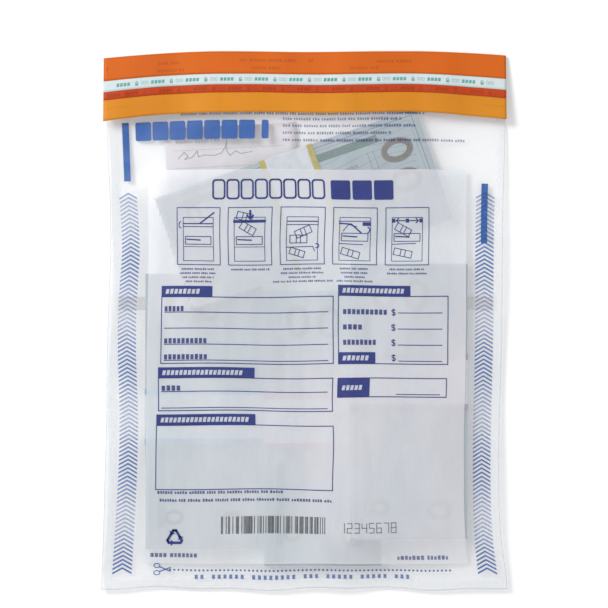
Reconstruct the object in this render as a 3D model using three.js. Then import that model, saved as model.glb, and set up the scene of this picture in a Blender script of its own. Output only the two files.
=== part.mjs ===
// A sealed two-pocket cash deposit bag of clear film, lying on its back with its contents inside.
// Millimetres. X is across the bag, Y runs from the bottom weld to the fold of the closure, Z is up.
// The origin is under the middle of the bag, on the surface that it lies on.
import * as THREE from "three";
import { ConvexGeometry } from "three/addons/geometries/ConvexGeometry.js";
import { mergeVertices } from "three/addons/utils/BufferGeometryUtils.js";

// Bag
const BAG_WIDTH = 228.6;
const BAG_LENGTH = 304.8;
const FILM = 0.1; // one ply
const GAP = 0.3; // air between neighbouring pieces
const SIDE_WELD = 5;
const BOTTOM_WELD = 6;
const WELD_THICKNESS = 0.4; // three plies melted together
const MOUTH_SETBACK = 1; // the front ply stops this far short of the fold

// Closure: the coloured strips across the flap, from the fold to the free edge
const STRIP_THICKNESS = 0.1;
const FLAP_ROOT = 0.2; // the flap starts this far from the fold line
const CLOSURE_STRIPS = [
  { name: "header_strip", length: 12.2, color: 0xd9692b },
  { name: "indicator_strip", length: 5.7, color: 0xe3ebee },
  { name: "void_strip", length: 4.3, color: 0xd05027 },
  { name: "sealing_tape", length: 11, color: 0xe0912e },
];

// Rear pocket: a half-height ply on the back with a lip of its own
const REAR_POCKET_DEPTH = 156; // from the bottom edge to the lip's crease
const REAR_LIP = 11;
const REAR_STRIP = 7.4;
const CREASE_GAP = 0.5; // each side of the crease

// Contents
const NOTE_WIDTH = 66.3;
const NOTE_LENGTH = 156;
const BUNDLE_THICKNESS = 4;
const STRAP_WIDTH = 31.75;
const STRAP_PAPER = 0.15;
const LEFT_MARGIN = 18.4; // pocket's side to the left bundle
const RIGHT_MARGIN = 17.1;
const FOOT_ROOM = { left: 16.6, middle: 7, right: 22.4 }; // bottom weld to each bundle's foot
const STRAP_SHIFT = { left: -3, middle: 4, right: 11, tilted: 0 }; // along the bundle, from its middle
const TILT = THREE.MathUtils.degToRad(19.2);
const TILTED_MIDDLE = { fromCentre: -0.5, fromFold: 89.3 };
const CHEQUE_WIDTH = 76.2; // folded once
const CHEQUE_LENGTH = 69.9;
const CHEQUE_PAPER = 0.1;
const CHEQUE_TURN = THREE.MathUtils.degToRad(3);
const CHEQUE_CENTRE = { fromCentre: -41, fromFold: 76.7 };

// Heights of the plies and of what lies on them
const pitchOfPlies = FILM + GAP;
const rearStripZ = pitchOfPlies;
const middleZ = 2 * pitchOfPlies;
const contentsZ = middleZ + pitchOfPlies;
const flapZ = contentsZ + pitchOfPlies;
const middleMidZ = middleZ + FILM / 2;

// Edges of the pockets
const foldY = BAG_LENGTH / 2;
const pocketX = BAG_WIDTH / 2 - SIDE_WELD;
const pocketBottomY = BOTTOM_WELD - BAG_LENGTH / 2;
const plyX = pocketX - GAP;
const plyBottomY = pocketBottomY + GAP;
const creaseY = REAR_POCKET_DEPTH - BAG_LENGTH / 2;

const clearFilm = { color: 0xeceef1, roughness: 0.25, metalness: 0 };
const paper = { color: 0xf1f0ec, roughness: 0.8, metalness: 0 };
const notePaper = { color: 0xb9c4c3, roughness: 0.85, metalness: 0 };

function named(name, geometry, finish) {
  const mesh = new THREE.Mesh(geometry, new THREE.MeshStandardMaterial(finish));
  mesh.name = name;
  return mesh;
}

// A flat plate between two X, two Y and two Z values.
function plate([x0, x1], [y0, y1], [z0, z1]) {
  const box = new THREE.BoxGeometry(x1 - x0, y1 - y0, z1 - z0);
  return box.translate((x0 + x1) / 2, (y0 + y1) / 2, (z0 + z1) / 2);
}

// A closed solid from loose triangles: its corners are merged, so only positions are kept.
function solidFrom(corners) {
  const loose = new THREE.BufferGeometry().setFromPoints(corners);
  const solid = mergeVertices(loose, 1e-4);
  solid.computeVertexNormals();
  return solid;
}

// A film drawn tight over points: the upper faces of their convex hull, given a thickness.
function tautFilm(points, thickness) {
  const hull = new ConvexGeometry(points).getAttribute("position");
  const lift = new THREE.Vector3(0, 0, thickness);
  const corners = [];
  const openEdges = new Map();
  const key = (p) => p.toArray().map((v) => v.toFixed(4)).join();
  for (let i = 0; i < hull.count; i += 3) {
    const [a, b, c] = [0, 1, 2].map((k) => new THREE.Vector3().fromBufferAttribute(hull, i + k));
    if (new THREE.Triangle(a, b, c).getNormal(new THREE.Vector3()).z < 1e-6) continue;
    corners.push(...[a, b, c].map((p) => p.clone().add(lift)), a, c, b);
    for (const [p, q] of [[a, b], [b, c], [c, a]]) {
      const back = key(q) + key(p);
      if (openEdges.has(back)) openEdges.delete(back);
      else openEdges.set(key(p) + key(q), [p, q]);
    }
  }
  for (const [p, q] of openEdges.values()) {
    const [pTop, qTop] = [p, q].map((v) => v.clone().add(lift));
    corners.push(p, q, qTop, p, qTop, pTop);
  }
  return solidFrom(corners);
}

// Contents: strapped bundles ------------------------------------------------------------------

const strapStandoff = GAP + STRAP_PAPER; // from the notes to a strap's outside
const packetWidth = NOTE_WIDTH + 2 * strapStandoff;
const packetThickness = BUNDLE_THICKNESS + 2 * strapStandoff;
const packetSize = { width: packetWidth, length: NOTE_LENGTH, height: packetThickness };

// A paper band right round the bundle, as a rectangular tube.
function strapGeometry() {
  const ring = new THREE.Shape(rectangle(packetWidth, packetThickness));
  ring.holes.push(new THREE.Path(rectangle(NOTE_WIDTH + 2 * GAP, BUNDLE_THICKNESS + 2 * GAP)));
  const band = new THREE.ExtrudeGeometry(ring, { depth: STRAP_WIDTH, bevelEnabled: false });
  return band.translate(0, 0, -STRAP_WIDTH / 2).rotateX(Math.PI / 2);
}

function rectangle(width, height) {
  const signs = [[-1, -1], [1, -1], [1, 1], [-1, 1]];
  return signs.map(([x, y]) => new THREE.Vector2((x * width) / 2, (y * height) / 2));
}

// A bundle and its strap, in a group whose origin is under the packet's middle.
function packet(name, strapColor) {
  const group = new THREE.Group();
  const notes = named(
    `${name}_bundle`,
    new THREE.BoxGeometry(NOTE_WIDTH, NOTE_LENGTH, BUNDLE_THICKNESS),
    notePaper,
  );
  const strap = named(`${name}_strap`, strapGeometry(), { ...paper, color: strapColor });
  notes.position.z = packetThickness / 2;
  strap.position.set(0, STRAP_SHIFT[name], packetThickness / 2);
  group.add(notes, strap);
  return group;
}

// A point of a piece's top face, from -1 to 1 across and along it, in the bag's frame.
function onTop(piece, { width, length, height }, across, along) {
  const local = new THREE.Vector3((across * width) / 2, (along * length) / 2, height);
  piece.updateMatrixWorld(true);
  return local.applyMatrix4(piece.matrixWorld);
}

function footY(name) {
  return pocketBottomY + FOOT_ROOM[name] + NOTE_LENGTH / 2;
}

const left = packet("left", 0xdfe4ee);
const leftX = LEFT_MARGIN - pocketX + packetWidth / 2;
left.position.set(leftX, footY("left"), contentsZ);

const middle = packet("middle", 0xe9dde2);
const middleX = leftX + packetWidth + GAP;
middle.position.set(middleX, footY("middle"), contentsZ);

// The right bundle lies with its left side over the middle one, on that bundle's upper edge.
const right = packet("right", 0xe4dcea);
const rightEdgeX = pocketX - RIGHT_MARGIN;
const reachToMiddle = rightEdgeX - (middleX + packetWidth / 2);
const roll =
  Math.atan2(packetThickness, reachToMiddle) +
  Math.asin(GAP / Math.hypot(packetThickness, reachToMiddle));
right.rotation.y = roll;
right.position.set(
  rightEdgeX - (packetWidth / 2) * Math.cos(roll),
  footY("right"),
  contentsZ + (packetWidth / 2) * Math.sin(roll),
);

// Two leaves joined along the fold on the left, open to the right.
function foldedCheque() {
  const outer = CHEQUE_WIDTH / 2;
  const profile = new THREE.Shape([
    new THREE.Vector2(-outer, 0),
    new THREE.Vector2(outer, 0),
    new THREE.Vector2(outer, CHEQUE_PAPER),
    new THREE.Vector2(CHEQUE_PAPER - outer, CHEQUE_PAPER),
    new THREE.Vector2(CHEQUE_PAPER - outer, CHEQUE_PAPER + GAP),
    new THREE.Vector2(outer, CHEQUE_PAPER + GAP),
    new THREE.Vector2(outer, 2 * CHEQUE_PAPER + GAP),
    new THREE.Vector2(-outer, 2 * CHEQUE_PAPER + GAP),
  ]);
  const leaves = new THREE.ExtrudeGeometry(profile, { depth: CHEQUE_LENGTH, bevelEnabled: false });
  leaves.translate(0, 0, -CHEQUE_LENGTH / 2).rotateX(Math.PI / 2);
  const cheque = named("folded_cheque", leaves, { ...paper, color: 0xd9d2d6 });
  cheque.rotation.z = CHEQUE_TURN;
  cheque.position.set(CHEQUE_CENTRE.fromCentre, foldY - CHEQUE_CENTRE.fromFold, contentsZ);
  return cheque;
}

const cheque = foldedCheque();
const chequeSize = {
  width: CHEQUE_WIDTH,
  length: CHEQUE_LENGTH,
  height: 2 * CHEQUE_PAPER + GAP,
};

// The tilted bundle rests on its right end and on whatever lies under its left half.
const SAMPLES = 48; // across and along each piece below it
const tilted = packet("tilted", 0xf1efe6);
const tiltedAxis = new THREE.Vector2(Math.cos(TILT), Math.sin(TILT));
const tiltedMiddle = new THREE.Vector2(
  TILTED_MIDDLE.fromCentre,
  foldY - TILTED_MIDDLE.fromFold,
);
const tiltedEnd = tiltedMiddle.clone().addScaledVector(tiltedAxis, NOTE_LENGTH / 2);
const below = [[left, packetSize], [middle, packetSize], [right, packetSize], [cheque, chequeSize]];
const under = [];
for (const [piece, size] of below)
  for (let i = 0; i <= SAMPLES; i++)
    for (let j = 0; j <= SAMPLES; j++) {
      const point = onTop(piece, size, (2 * i) / SAMPLES - 1, (2 * j) / SAMPLES - 1);
      const from = tiltedEnd.clone().sub(point);
      const along = from.dot(tiltedAxis);
      const besideAxis = Math.abs(from.cross(tiltedAxis));
      const inside = besideAxis < packetWidth / 2 + size.length / SAMPLES;
      if (inside && along > -GAP && along < NOTE_LENGTH) under.push({ along, z: point.z + GAP });
    }
const underLeftHalf = under.filter((p) => p.along > NOTE_LENGTH / 2);
const slope = Math.max(0, ...underLeftHalf.map((p) => (p.z - contentsZ) / p.along));
const lift = Math.max(0, ...under.map((p) => p.z - contentsZ - slope * p.along));
const pitch = Math.atan(slope);
const halfReach = (NOTE_LENGTH / 2) * Math.cos(pitch);
tilted.rotation.set(-pitch, 0, TILT - Math.PI / 2, "ZYX");
tilted.position.set(
  tiltedEnd.x - halfReach * tiltedAxis.x,
  tiltedEnd.y - halfReach * tiltedAxis.y,
  contentsZ + lift + (NOTE_LENGTH / 2) * Math.sin(pitch),
);

// Bag: plies and welds ------------------------------------------------------------------------

const mouthY = foldY - MOUTH_SETBACK;
const corners = [-1, 1];
const frontEdge = corners.flatMap((side) => [
  new THREE.Vector3(side * plyX, plyBottomY, contentsZ),
  new THREE.Vector3(side * plyX, mouthY, contentsZ),
]);
const contentTops = [left, middle, right, tilted].flatMap((group) =>
  corners.flatMap((across) => corners.map((along) => onTop(group, packetSize, across, along))),
);
for (const point of contentTops) point.z += GAP;

const weldZ = [middleMidZ - WELD_THICKNESS / 2, middleMidZ + WELD_THICKNESS / 2];
const sideWeldY = [-BAG_LENGTH / 2, foldY];
const bag = new THREE.Group();
bag.add(
  named("front_film", tautFilm([...frontEdge, ...contentTops], FILM), clearFilm),
  named(
    "middle_film",
    plate([-plyX, plyX], [plyBottomY, foldY - FLAP_ROOT], [middleZ, middleZ + FILM]),
    clearFilm,
  ),
  named("rear_film", plate([-plyX, plyX], [plyBottomY, creaseY - CREASE_GAP], [0, FILM]), clearFilm),
  named("left_weld", plate([-BAG_WIDTH / 2, -pocketX], sideWeldY, weldZ), clearFilm),
  named("right_weld", plate([pocketX, BAG_WIDTH / 2], sideWeldY, weldZ), clearFilm),
  named("bottom_weld", plate([-plyX, plyX], [-BAG_LENGTH / 2, pocketBottomY], weldZ), clearFilm),
  left,
  middle,
  right,
  tilted,
  cheque,
);

// Closure flap: folds over the mouth and lies on the front ply --------------------------------

// The steepest line from the fold to anything that the front film is drawn over.
const riseOf = (p) => (p.z + pitchOfPlies - flapZ) / (foldY - p.y);
const flapAngle = Math.atan(Math.max(...contentTops.map(riseOf)));
const foldZ = (middleMidZ + flapZ + FILM / 2) / 2;
const flapUnder = flapZ - foldZ;
const stripUnder = flapUnder + pitchOfPlies;

const closure = new THREE.Group();
closure.position.set(0, foldY, foldZ);
closure.rotation.x = -flapAngle;
let reached = FLAP_ROOT;
for (const { name, length, color } of CLOSURE_STRIPS) {
  const strip = plate(
    [-BAG_WIDTH / 2, BAG_WIDTH / 2],
    [-reached - length, -reached],
    [stripUnder, stripUnder + STRIP_THICKNESS],
  );
  closure.add(named(name, strip, { color, roughness: 0.35, metalness: 0 }));
  reached += length + GAP;
}
const flapLength = reached - GAP;
const flap = plate(
  [-BAG_WIDTH / 2, BAG_WIDTH / 2],
  [-flapLength, -FLAP_ROOT],
  [flapUnder, flapUnder + FILM],
);
closure.add(named("closure_flap", flap, clearFilm));

// Rear lip: the top of the half-height back ply, closed with a strip of its own ---------------

const lipY = [creaseY + CREASE_GAP, creaseY + CREASE_GAP + REAR_LIP];
const stripMiddleY = (lipY[0] + lipY[1]) / 2;
const rearLip = new THREE.Group();
rearLip.add(
  named("rear_lip", plate([-plyX, plyX], lipY, [0, FILM]), clearFilm),
  named(
    "rear_strip",
    plate(
      [-plyX, plyX],
      [stripMiddleY - REAR_STRIP / 2, stripMiddleY + REAR_STRIP / 2],
      [rearStripZ, rearStripZ + STRIP_THICKNESS],
    ),
    { color: 0xd8cfba, roughness: 0.6, metalness: 0 },
  ),
);

const depositBag = new THREE.Group();
depositBag.add(bag, closure, rearLip);
export default depositBag;
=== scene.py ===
# %% [markdown]
# # A sealed cash deposit bag in clear film
#
# The real object is three plies of clear polythene, melted together along the sides and the bottom, with a
# lip that folds over the mouth and carries coloured closing strips. Inside lie four strapped bundles of
# notes and a folded cheque. The solid model already fixes every size, place and hinge. This script loads it
# as a frame and builds the looks around it: thin film that rests on the contents, ink printed on the film,
# and paper.

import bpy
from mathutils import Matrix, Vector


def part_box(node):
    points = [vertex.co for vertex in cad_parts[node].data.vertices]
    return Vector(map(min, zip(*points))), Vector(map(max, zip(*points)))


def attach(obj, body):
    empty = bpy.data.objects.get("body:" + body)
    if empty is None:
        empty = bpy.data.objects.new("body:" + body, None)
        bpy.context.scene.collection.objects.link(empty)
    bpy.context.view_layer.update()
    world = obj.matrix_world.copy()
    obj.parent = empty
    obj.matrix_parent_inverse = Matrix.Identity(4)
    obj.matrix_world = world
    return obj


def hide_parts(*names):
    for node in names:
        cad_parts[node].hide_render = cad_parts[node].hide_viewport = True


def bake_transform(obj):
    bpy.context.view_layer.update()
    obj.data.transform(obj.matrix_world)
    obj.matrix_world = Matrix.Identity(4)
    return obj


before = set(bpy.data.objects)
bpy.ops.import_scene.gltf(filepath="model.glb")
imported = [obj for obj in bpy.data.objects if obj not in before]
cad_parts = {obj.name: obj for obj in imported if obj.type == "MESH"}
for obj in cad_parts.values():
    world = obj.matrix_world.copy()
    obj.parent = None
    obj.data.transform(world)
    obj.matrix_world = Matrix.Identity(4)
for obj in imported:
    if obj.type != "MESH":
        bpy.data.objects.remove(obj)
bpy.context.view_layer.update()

import math

import bpy
import numpy as np
from mathutils import Vector

MM = 0.001

# %% [markdown]
# ## Camera, floor and light
#
# The bag is looked at from straight above, as a document on a light table is. A long lens far away keeps
# the sides parallel. The floor is plain and almost white. A soft light stands on the upper left, so the
# shadow falls to the lower right. A weaker one stands opposite, and the white surroundings fill the rest.

# %% Camera above the bag
VIEW_SPAN = 346 * MM  # the width that the picture covers
CAMERA_HEIGHT = 1.7
SENSOR = 36.0

camera_data = bpy.data.cameras.new("camera")
camera = bpy.data.objects.new("camera", camera_data)
bpy.context.scene.collection.objects.link(camera)
camera.location = (-0.5 * MM, 9.1 * MM, CAMERA_HEIGHT)
camera_data.sensor_width = SENSOR
camera_data.lens = SENSOR * CAMERA_HEIGHT / VIEW_SPAN
bpy.context.scene.camera = camera
print("lens, mm:", round(camera_data.lens, 1))

# %% Floor, light and surroundings
def plain_material(name, color, roughness):
    """A new material whose Principled node has one colour and roughness, with that node returned too."""
    material = bpy.data.materials.new(name)
    material.use_nodes = True
    shader = material.node_tree.nodes["Principled BSDF"]
    shader.inputs["Base Color"].default_value = (*color, 1)
    shader.inputs["Roughness"].default_value = roughness
    return material, shader


bpy.ops.mesh.primitive_plane_add(size=6, location=(0, 0, -0.05 * MM))
floor = bpy.context.object
floor.name = "floor"
floor_white, floor_shader = plain_material("floor_white", (0.93, 0.93, 0.93), 0.8)
floor_shader.inputs["Emission Color"].default_value = (1, 1, 1, 1)
floor_shader.inputs["Emission Strength"].default_value = 0.12
floor.data.materials.append(floor_white)


def softbox(name, place, size, power, aim=(0, 0, 0)):
    """A square area light at place that faces aim."""
    data = bpy.data.lights.new(name, "AREA")
    data.size, data.energy = size, power
    lamp = bpy.data.objects.new(name, data)
    bpy.context.scene.collection.objects.link(lamp)
    lamp.location = place
    lamp.rotation_euler = (Vector(aim) - Vector(place)).to_track_quat("-Z", "Y").to_euler()


softbox("key_light", place=(-1.1, 0.9, 1.3), size=0.7, power=24)
softbox("fill_light", place=(1.1, -0.6, 1.7), size=1.4, power=4)
world = bpy.data.worlds.new("surroundings")
bpy.context.scene.world = world
world.use_nodes = True
world.node_tree.nodes["Background"].inputs["Color"].default_value = (0.97, 0.985, 1.0, 1)
world.node_tree.nodes["Background"].inputs["Strength"].default_value = 0.56
bpy.context.scene.view_settings.view_transform = "Standard"
bpy.context.scene.cycles.transparent_max_bounces = 32  # many see-through plies lie on each other

# %% [markdown]
# ## Reading the places of the contents
#
# Each bundle in the frame is a turned box. Three edges that leave one of its corners give its length, width
# and thickness as directions, so everything on a bundle can be placed in the bundle's own axes.

# %% The axes of a turned box
def turned_box(node):
    """A box node's middle and half its length, width and thickness as vectors, the last one upwards."""
    points = {tuple(round(c, 6) for c in v.co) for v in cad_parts[node].data.vertices}
    points = [Vector(p) for p in sorted(points)]
    middle = sum(points, Vector()) / len(points)
    corner = points[0]
    edges = sorted((p - corner for p in points[1:]), key=lambda e: e.length)
    thick, wide, long = edges[0] / 2, edges[1] / 2, edges[3] / 2
    if thick.z < 0:
        thick = -thick
    if long.y + long.x < 0:
        long = -long
    wide = thick.cross(long).normalized() * wide.length
    return middle, long, wide, thick


def reach_along(node, axes):
    """How far a node reaches in a bundle's own axes: its lowest and highest corners, in metres."""
    middle = axes[0]
    points = np.array([v.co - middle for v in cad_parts[node].data.vertices])
    local = points @ np.array([axis.normalized() for axis in axes[1:]]).T
    return local.min(axis=0), local.max(axis=0)


BUNDLES = ("left", "middle", "right", "tilted")
bundle_axes = {name: turned_box(f"{name}_bundle") for name in BUNDLES}
strap_reach = {name: reach_along(f"{name}_strap", bundle_axes[name]) for name in BUNDLES}
for name, (middle, long, wide, thick) in bundle_axes.items():
    print(name, "bundle, mm:", [round(2 * e.length / MM, 1) for e in (long, wide, thick)])

# %% [markdown]
# ## The shape of the front ply
#
# Film doesn't stretch like a balloon: it lies on whatever is highest and spans the hollows between. A soap
# film does the same, and it is easy to work out: every point takes the average height of its neighbours,
# unless the contents push it higher. Repeating that from a coarse grid to a fine one settles in seconds. A
# few small waves are added at the welds, where real film puckers.

# %% The bag's flat outline and how it is drawn in
weld_low, weld_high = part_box("left_weld")
ply_low, ply_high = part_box("front_film")
HALF_WIDTH = -weld_low.x
FOLD_Y = weld_high.y
FOOT_Y = weld_low.y
POCKET_X = -ply_low.x
POCKET_FOOT_Y = ply_low.y
MOUTH_Y = ply_high.y
EDGE_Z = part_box("middle_film")[1].z


def bump(t, middle, width):
    """A smooth hump of height 1 at middle, and almost nothing beyond twice the width."""
    return np.exp(-(((t - middle) / width) ** 2))


def pulled(u, v):
    """Where a point of the flat bag lies once the contents have drawn its edges in, in metres."""
    u, v = np.asarray(u, float), np.asarray(v, float)
    along = v / MM
    left_in = MM * (3.9 * bump(along, 48, 70) + 1.2 * bump(along, -60, 38) - 1.3 * bump(along, -155, 25))
    right_in = MM * (4.4 * bump(along, -85, 80) + 2.0 * bump(along, 45, 60) - 2.6 * bump(along, -150, 20))
    toward_left = np.clip(-u / HALF_WIDTH, 0, 1) ** 2
    toward_right = np.clip(u / HALF_WIDTH, 0, 1) ** 2
    x = u + left_in * toward_left - right_in * toward_right
    across = u / MM
    inward = np.clip(1.15 - np.abs(across) / 100, 0, 1) * np.clip((v - FOOT_Y) / (40 * MM), 0, 1)
    x = x + 0.4 * MM * inward * np.sin(along / 8.5 + across / 40) * np.sin(along / 37)
    top_dip = 4.0 * np.clip((-across - 48) / 66, 0, 1) ** 1.6 + 2.4 * np.clip((across - 62) / 52, 0, 1) ** 1.6
    top_dip += 0.5 * bump(across, 2, 26)
    near_top = np.clip((v + 0.02) / (FOLD_Y + 0.02), 0, 1) ** 2
    foot_wave = 0.7 * np.sin(across / 17) + 0.5 * np.sin(across / 7 + 1)
    near_foot = np.clip(1 - (v - FOOT_Y) / (25 * MM), 0, 1) ** 2
    y = v - top_dip * MM * near_top + foot_wave * MM * near_foot
    y = y + 0.45 * MM * inward * np.sin(across / 15 + along / 33) * (1 - near_top)
    return x, y


def edge_lift(u, v):
    """How far the bag's edges stand off the table, because film never lies quite flat, in metres."""
    u, v = np.asarray(u, float), np.asarray(v, float)
    right = np.clip((u / HALF_WIDTH - 0.72) / 0.28, 0, 1) ** 2 * (3.2 + 0.9 * np.sin(v / (21 * MM)))
    left = np.clip((-u / HALF_WIDTH - 0.76) / 0.24, 0, 1) ** 2 * (1.7 + 0.8 * np.sin(v / (17 * MM) + 1))
    from_foot = np.clip(1 - (v - FOOT_Y) / (24 * MM), 0, 1) ** 2
    foot = from_foot * (2.0 + 0.7 * np.sin(u / (16 * MM) + 2) + 1.8 * bump(u / MM, 22, 15))
    under_flap = np.clip((118 * MM - v) / (40 * MM), 0, 1)
    return MM * np.maximum(np.maximum(right, left) * (under_flap * (2 - under_flap)), foot)


# %% The height of the contents under a point
def packet_top(name, x, y, strap=False):
    """Height of a bundle's or strap's upper face over x and y, or very low where it isn't."""
    middle, long, wide, thick = bundle_axes[name]
    half = np.array([long.length, wide.length, thick.length])
    low, high = strap_reach[name] if strap else (-half, half)
    normal = thick.normalized()
    top = middle + normal * high[2]
    z = top.z - ((x - top.x) * normal.x + (y - top.y) * normal.y) / normal.z
    from_middle = np.stack([x - middle.x, y - middle.y, z - middle.z], axis=-1)
    along = from_middle @ np.array(long.normalized())
    across = from_middle @ np.array(wide.normalized())
    margin = 0.6 * MM
    inside = (along > low[0] - margin) & (along < high[0] + margin)
    inside &= (across > low[1] - margin) & (across < high[1] + margin)
    return np.where(inside, z, -1.0)


def contents_top(x, y):
    tops = [packet_top(name, x, y, strap) for name in BUNDLES for strap in (False, True)]
    return np.max(tops, axis=0)


# %% Settle the film over the contents
STEP = 1.6 * MM
CLEARANCE = 0.25 * MM  # between the contents and the film over them
SAG = 0.004 * MM  # how much each round lets the film sink
columns = round(2 * HALF_WIDTH / STEP) + 1
rows = round((FOLD_Y - FOOT_Y) / STEP) + 1


def settled(columns, rows, start=None, rounds=900):
    """Heights of the front ply on a grid of the flat bag, from the average-or-contents rule."""
    u, v = np.meshgrid(np.linspace(-HALF_WIDTH, HALF_WIDTH, columns), np.linspace(FOOT_Y, FOLD_Y, rows))
    x, y = pulled(u, v)
    floor_z = np.maximum(contents_top(x, y) + CLEARANCE, EDGE_Z)
    held = (np.abs(u) > POCKET_X) | (v < POCKET_FOOT_Y) | (v > MOUTH_Y)
    z = np.maximum(floor_z, EDGE_Z if start is None else start)
    for _ in range(rounds):
        around = np.pad(z, 1, mode="edge")
        mean = (around[:-2, 1:-1] + around[2:, 1:-1] + around[1:-1, :-2] + around[1:-1, 2:]) / 4
        z = np.where(held, EDGE_Z, np.maximum(mean - SAG, floor_z))
    return u, v, z


def finer(z, columns, rows):
    """A grid of heights again, with more points."""
    old_rows, old_columns = z.shape
    at_row = np.linspace(0, old_rows - 1, rows)
    at_column = np.linspace(0, old_columns - 1, columns)
    wide = np.array([np.interp(at_column, np.arange(old_columns), line) for line in z])
    return np.array([np.interp(at_row, np.arange(old_rows), line) for line in wide.T]).T


_, _, coarse = settled(columns // 4, rows // 4)
_, _, medium = settled(columns // 2, rows // 2, finer(coarse, columns // 2, rows // 2), 400)
grid_u, grid_v, grid_z = settled(columns, rows, finer(medium, columns, rows), 200)
print("front ply: highest point, mm:", round(grid_z.max() / MM, 2))

# %% Small waves along the welds and the mouth
def waves(u, v):
    """Puckers that run in from the side welds and fade within a few centimetres, as height in metres."""
    from_side = (HALF_WIDTH - np.abs(u)) / MM
    from_foot = (v - FOOT_Y) / MM
    side = np.where(u < 0, 0.0, 2.1)
    ripple = np.sin(v / MM / 3.1 + side + 0.5 * np.sin(v / MM / 13)) * np.sin(v / MM / 23 + side)
    at_sides = ripple * np.exp(-(((from_side - 11) / 8) ** 2))
    foot_ripple = np.sin(u / MM / 3.7 + 1) * np.sin(u / MM / 29 + 0.4)
    at_foot = foot_ripple * np.exp(-(((from_foot - 11) / 6) ** 2))
    slack = np.sin(u / MM / 19 + v / MM / 31) * np.sin(v / MM / 17 - u / MM / 41)
    return MM * (0.42 * at_sides + 0.3 * at_foot + 0.18 * slack)


blurred = grid_z.copy()
for _ in range(3):
    around = np.pad(blurred, 1, mode="edge")
    blurred = (around[:-2, 1:-1] + around[2:, 1:-1] + around[1:-1, :-2] + around[1:-1, 2:] + 4 * blurred) / 8
grid_z = np.maximum(blurred, grid_z) + np.maximum(waves(grid_u, grid_v), -0.1 * MM)
grid_z = np.maximum(grid_z, EDGE_Z + 0.15 * MM)


def film_z(u, v):
    """Height of the front ply over a point of the flat bag."""
    column = np.clip((np.asarray(u) + HALF_WIDTH) / (2 * HALF_WIDTH) * (columns - 1), 0, columns - 1.001)
    row = np.clip((np.asarray(v) - FOOT_Y) / (FOLD_Y - FOOT_Y) * (rows - 1), 0, rows - 1.001)
    i, j = row.astype(int), column.astype(int)
    a, b = row - i, column - j
    low = grid_z[i, j] * (1 - b) + grid_z[i, j + 1] * b
    high = grid_z[i + 1, j] * (1 - b) + grid_z[i + 1, j + 1] * b
    return low * (1 - a) + high * a


# %% [markdown]
# ## Sheets from grids
#
# Every ply, strip and leaf is a grid of quads. One helper turns rows of points into such a mesh and puts it
# in the scene with smooth shading. Another gives a sheet its thickness where its edge can be seen.

# %% Meshes from rows of points
def new_piece(name, points, faces, material, smooth=True):
    mesh = bpy.data.meshes.new(name)
    mesh.from_pydata([tuple(p) for p in points], [], faces)
    mesh.validate()
    mesh.update()
    piece = bpy.data.objects.new(name, mesh)
    bpy.context.scene.collection.objects.link(piece)
    mesh.materials.append(material)
    mesh.polygons.foreach_set("use_smooth", [smooth] * len(mesh.polygons))
    return piece


def grid_piece(name, points, material):
    """A sheet from an array of points, rows by columns by 3."""
    rows, columns = points.shape[:2]
    index = np.arange(rows * columns).reshape(rows, columns)
    corners = [index[:-1, :-1], index[:-1, 1:], index[1:, 1:], index[1:, :-1]]
    faces = np.stack(corners, axis=-1).reshape(-1, 4).tolist()
    return new_piece(name, points.reshape(-1, 3), faces, material)


def thicken(piece, label, thickness, offset=-1):
    """Give a sheet its real thickness. Offset 0 keeps the sheet in the middle of it."""
    solid = piece.modifiers.new(label, "SOLIDIFY")
    solid.thickness = thickness
    solid.offset = offset


def flat_grid(u_range, v_range, step):
    """Two arrays of u and v that cover a rectangle of the flat bag."""
    across = max(2, round((u_range[1] - u_range[0]) / step) + 1)
    along = max(2, round((v_range[1] - v_range[0]) / step) + 1)
    return np.meshgrid(np.linspace(*u_range, across), np.linspace(*v_range, along))


# %% [markdown]
# ## Finishes that several materials share
#
# Film, ink and paper each have a faint grain. A shader node group makes it once, with its sizes as inputs,
# and each material puts in its own values. The group gives out only a mask; the shader itself stays in the
# material.

# %% Node helpers
def linear(hex_colour):
    """Six hex digits as the linear values that a colour socket wants."""
    parts = [int(hex_colour[i : i + 2], 16) / 255 for i in (0, 2, 4)]
    return [c / 12.92 if c <= 0.04045 else ((c + 0.055) / 1.055) ** 2.4 for c in parts]


def shader_group(name, inputs, outputs):
    group = bpy.data.node_groups.new(name, "ShaderNodeTree")
    for socket, kind, value in inputs:
        made = group.interface.new_socket(socket, in_out="INPUT", socket_type=kind)
        if value is not None:
            made.default_value = value
    for socket, kind in outputs:
        group.interface.new_socket(socket, in_out="OUTPUT", socket_type=kind)
    return group, group.nodes.new("NodeGroupInput"), group.nodes.new("NodeGroupOutput")


FLOAT, VECTOR = "NodeSocketFloat", "NodeSocketVector"


def math_node(tree, operation, a, b=0.5):
    """A Math node whose inputs are sockets or numbers; its output socket is returned."""
    node = tree.nodes.new("ShaderNodeMath")
    node.operation = operation
    for socket, value in zip(node.inputs, (a, b)):
        if isinstance(value, (int, float)):
            socket.default_value = value
        else:
            tree.links.new(value, socket)
    return node.outputs[0]


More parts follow.
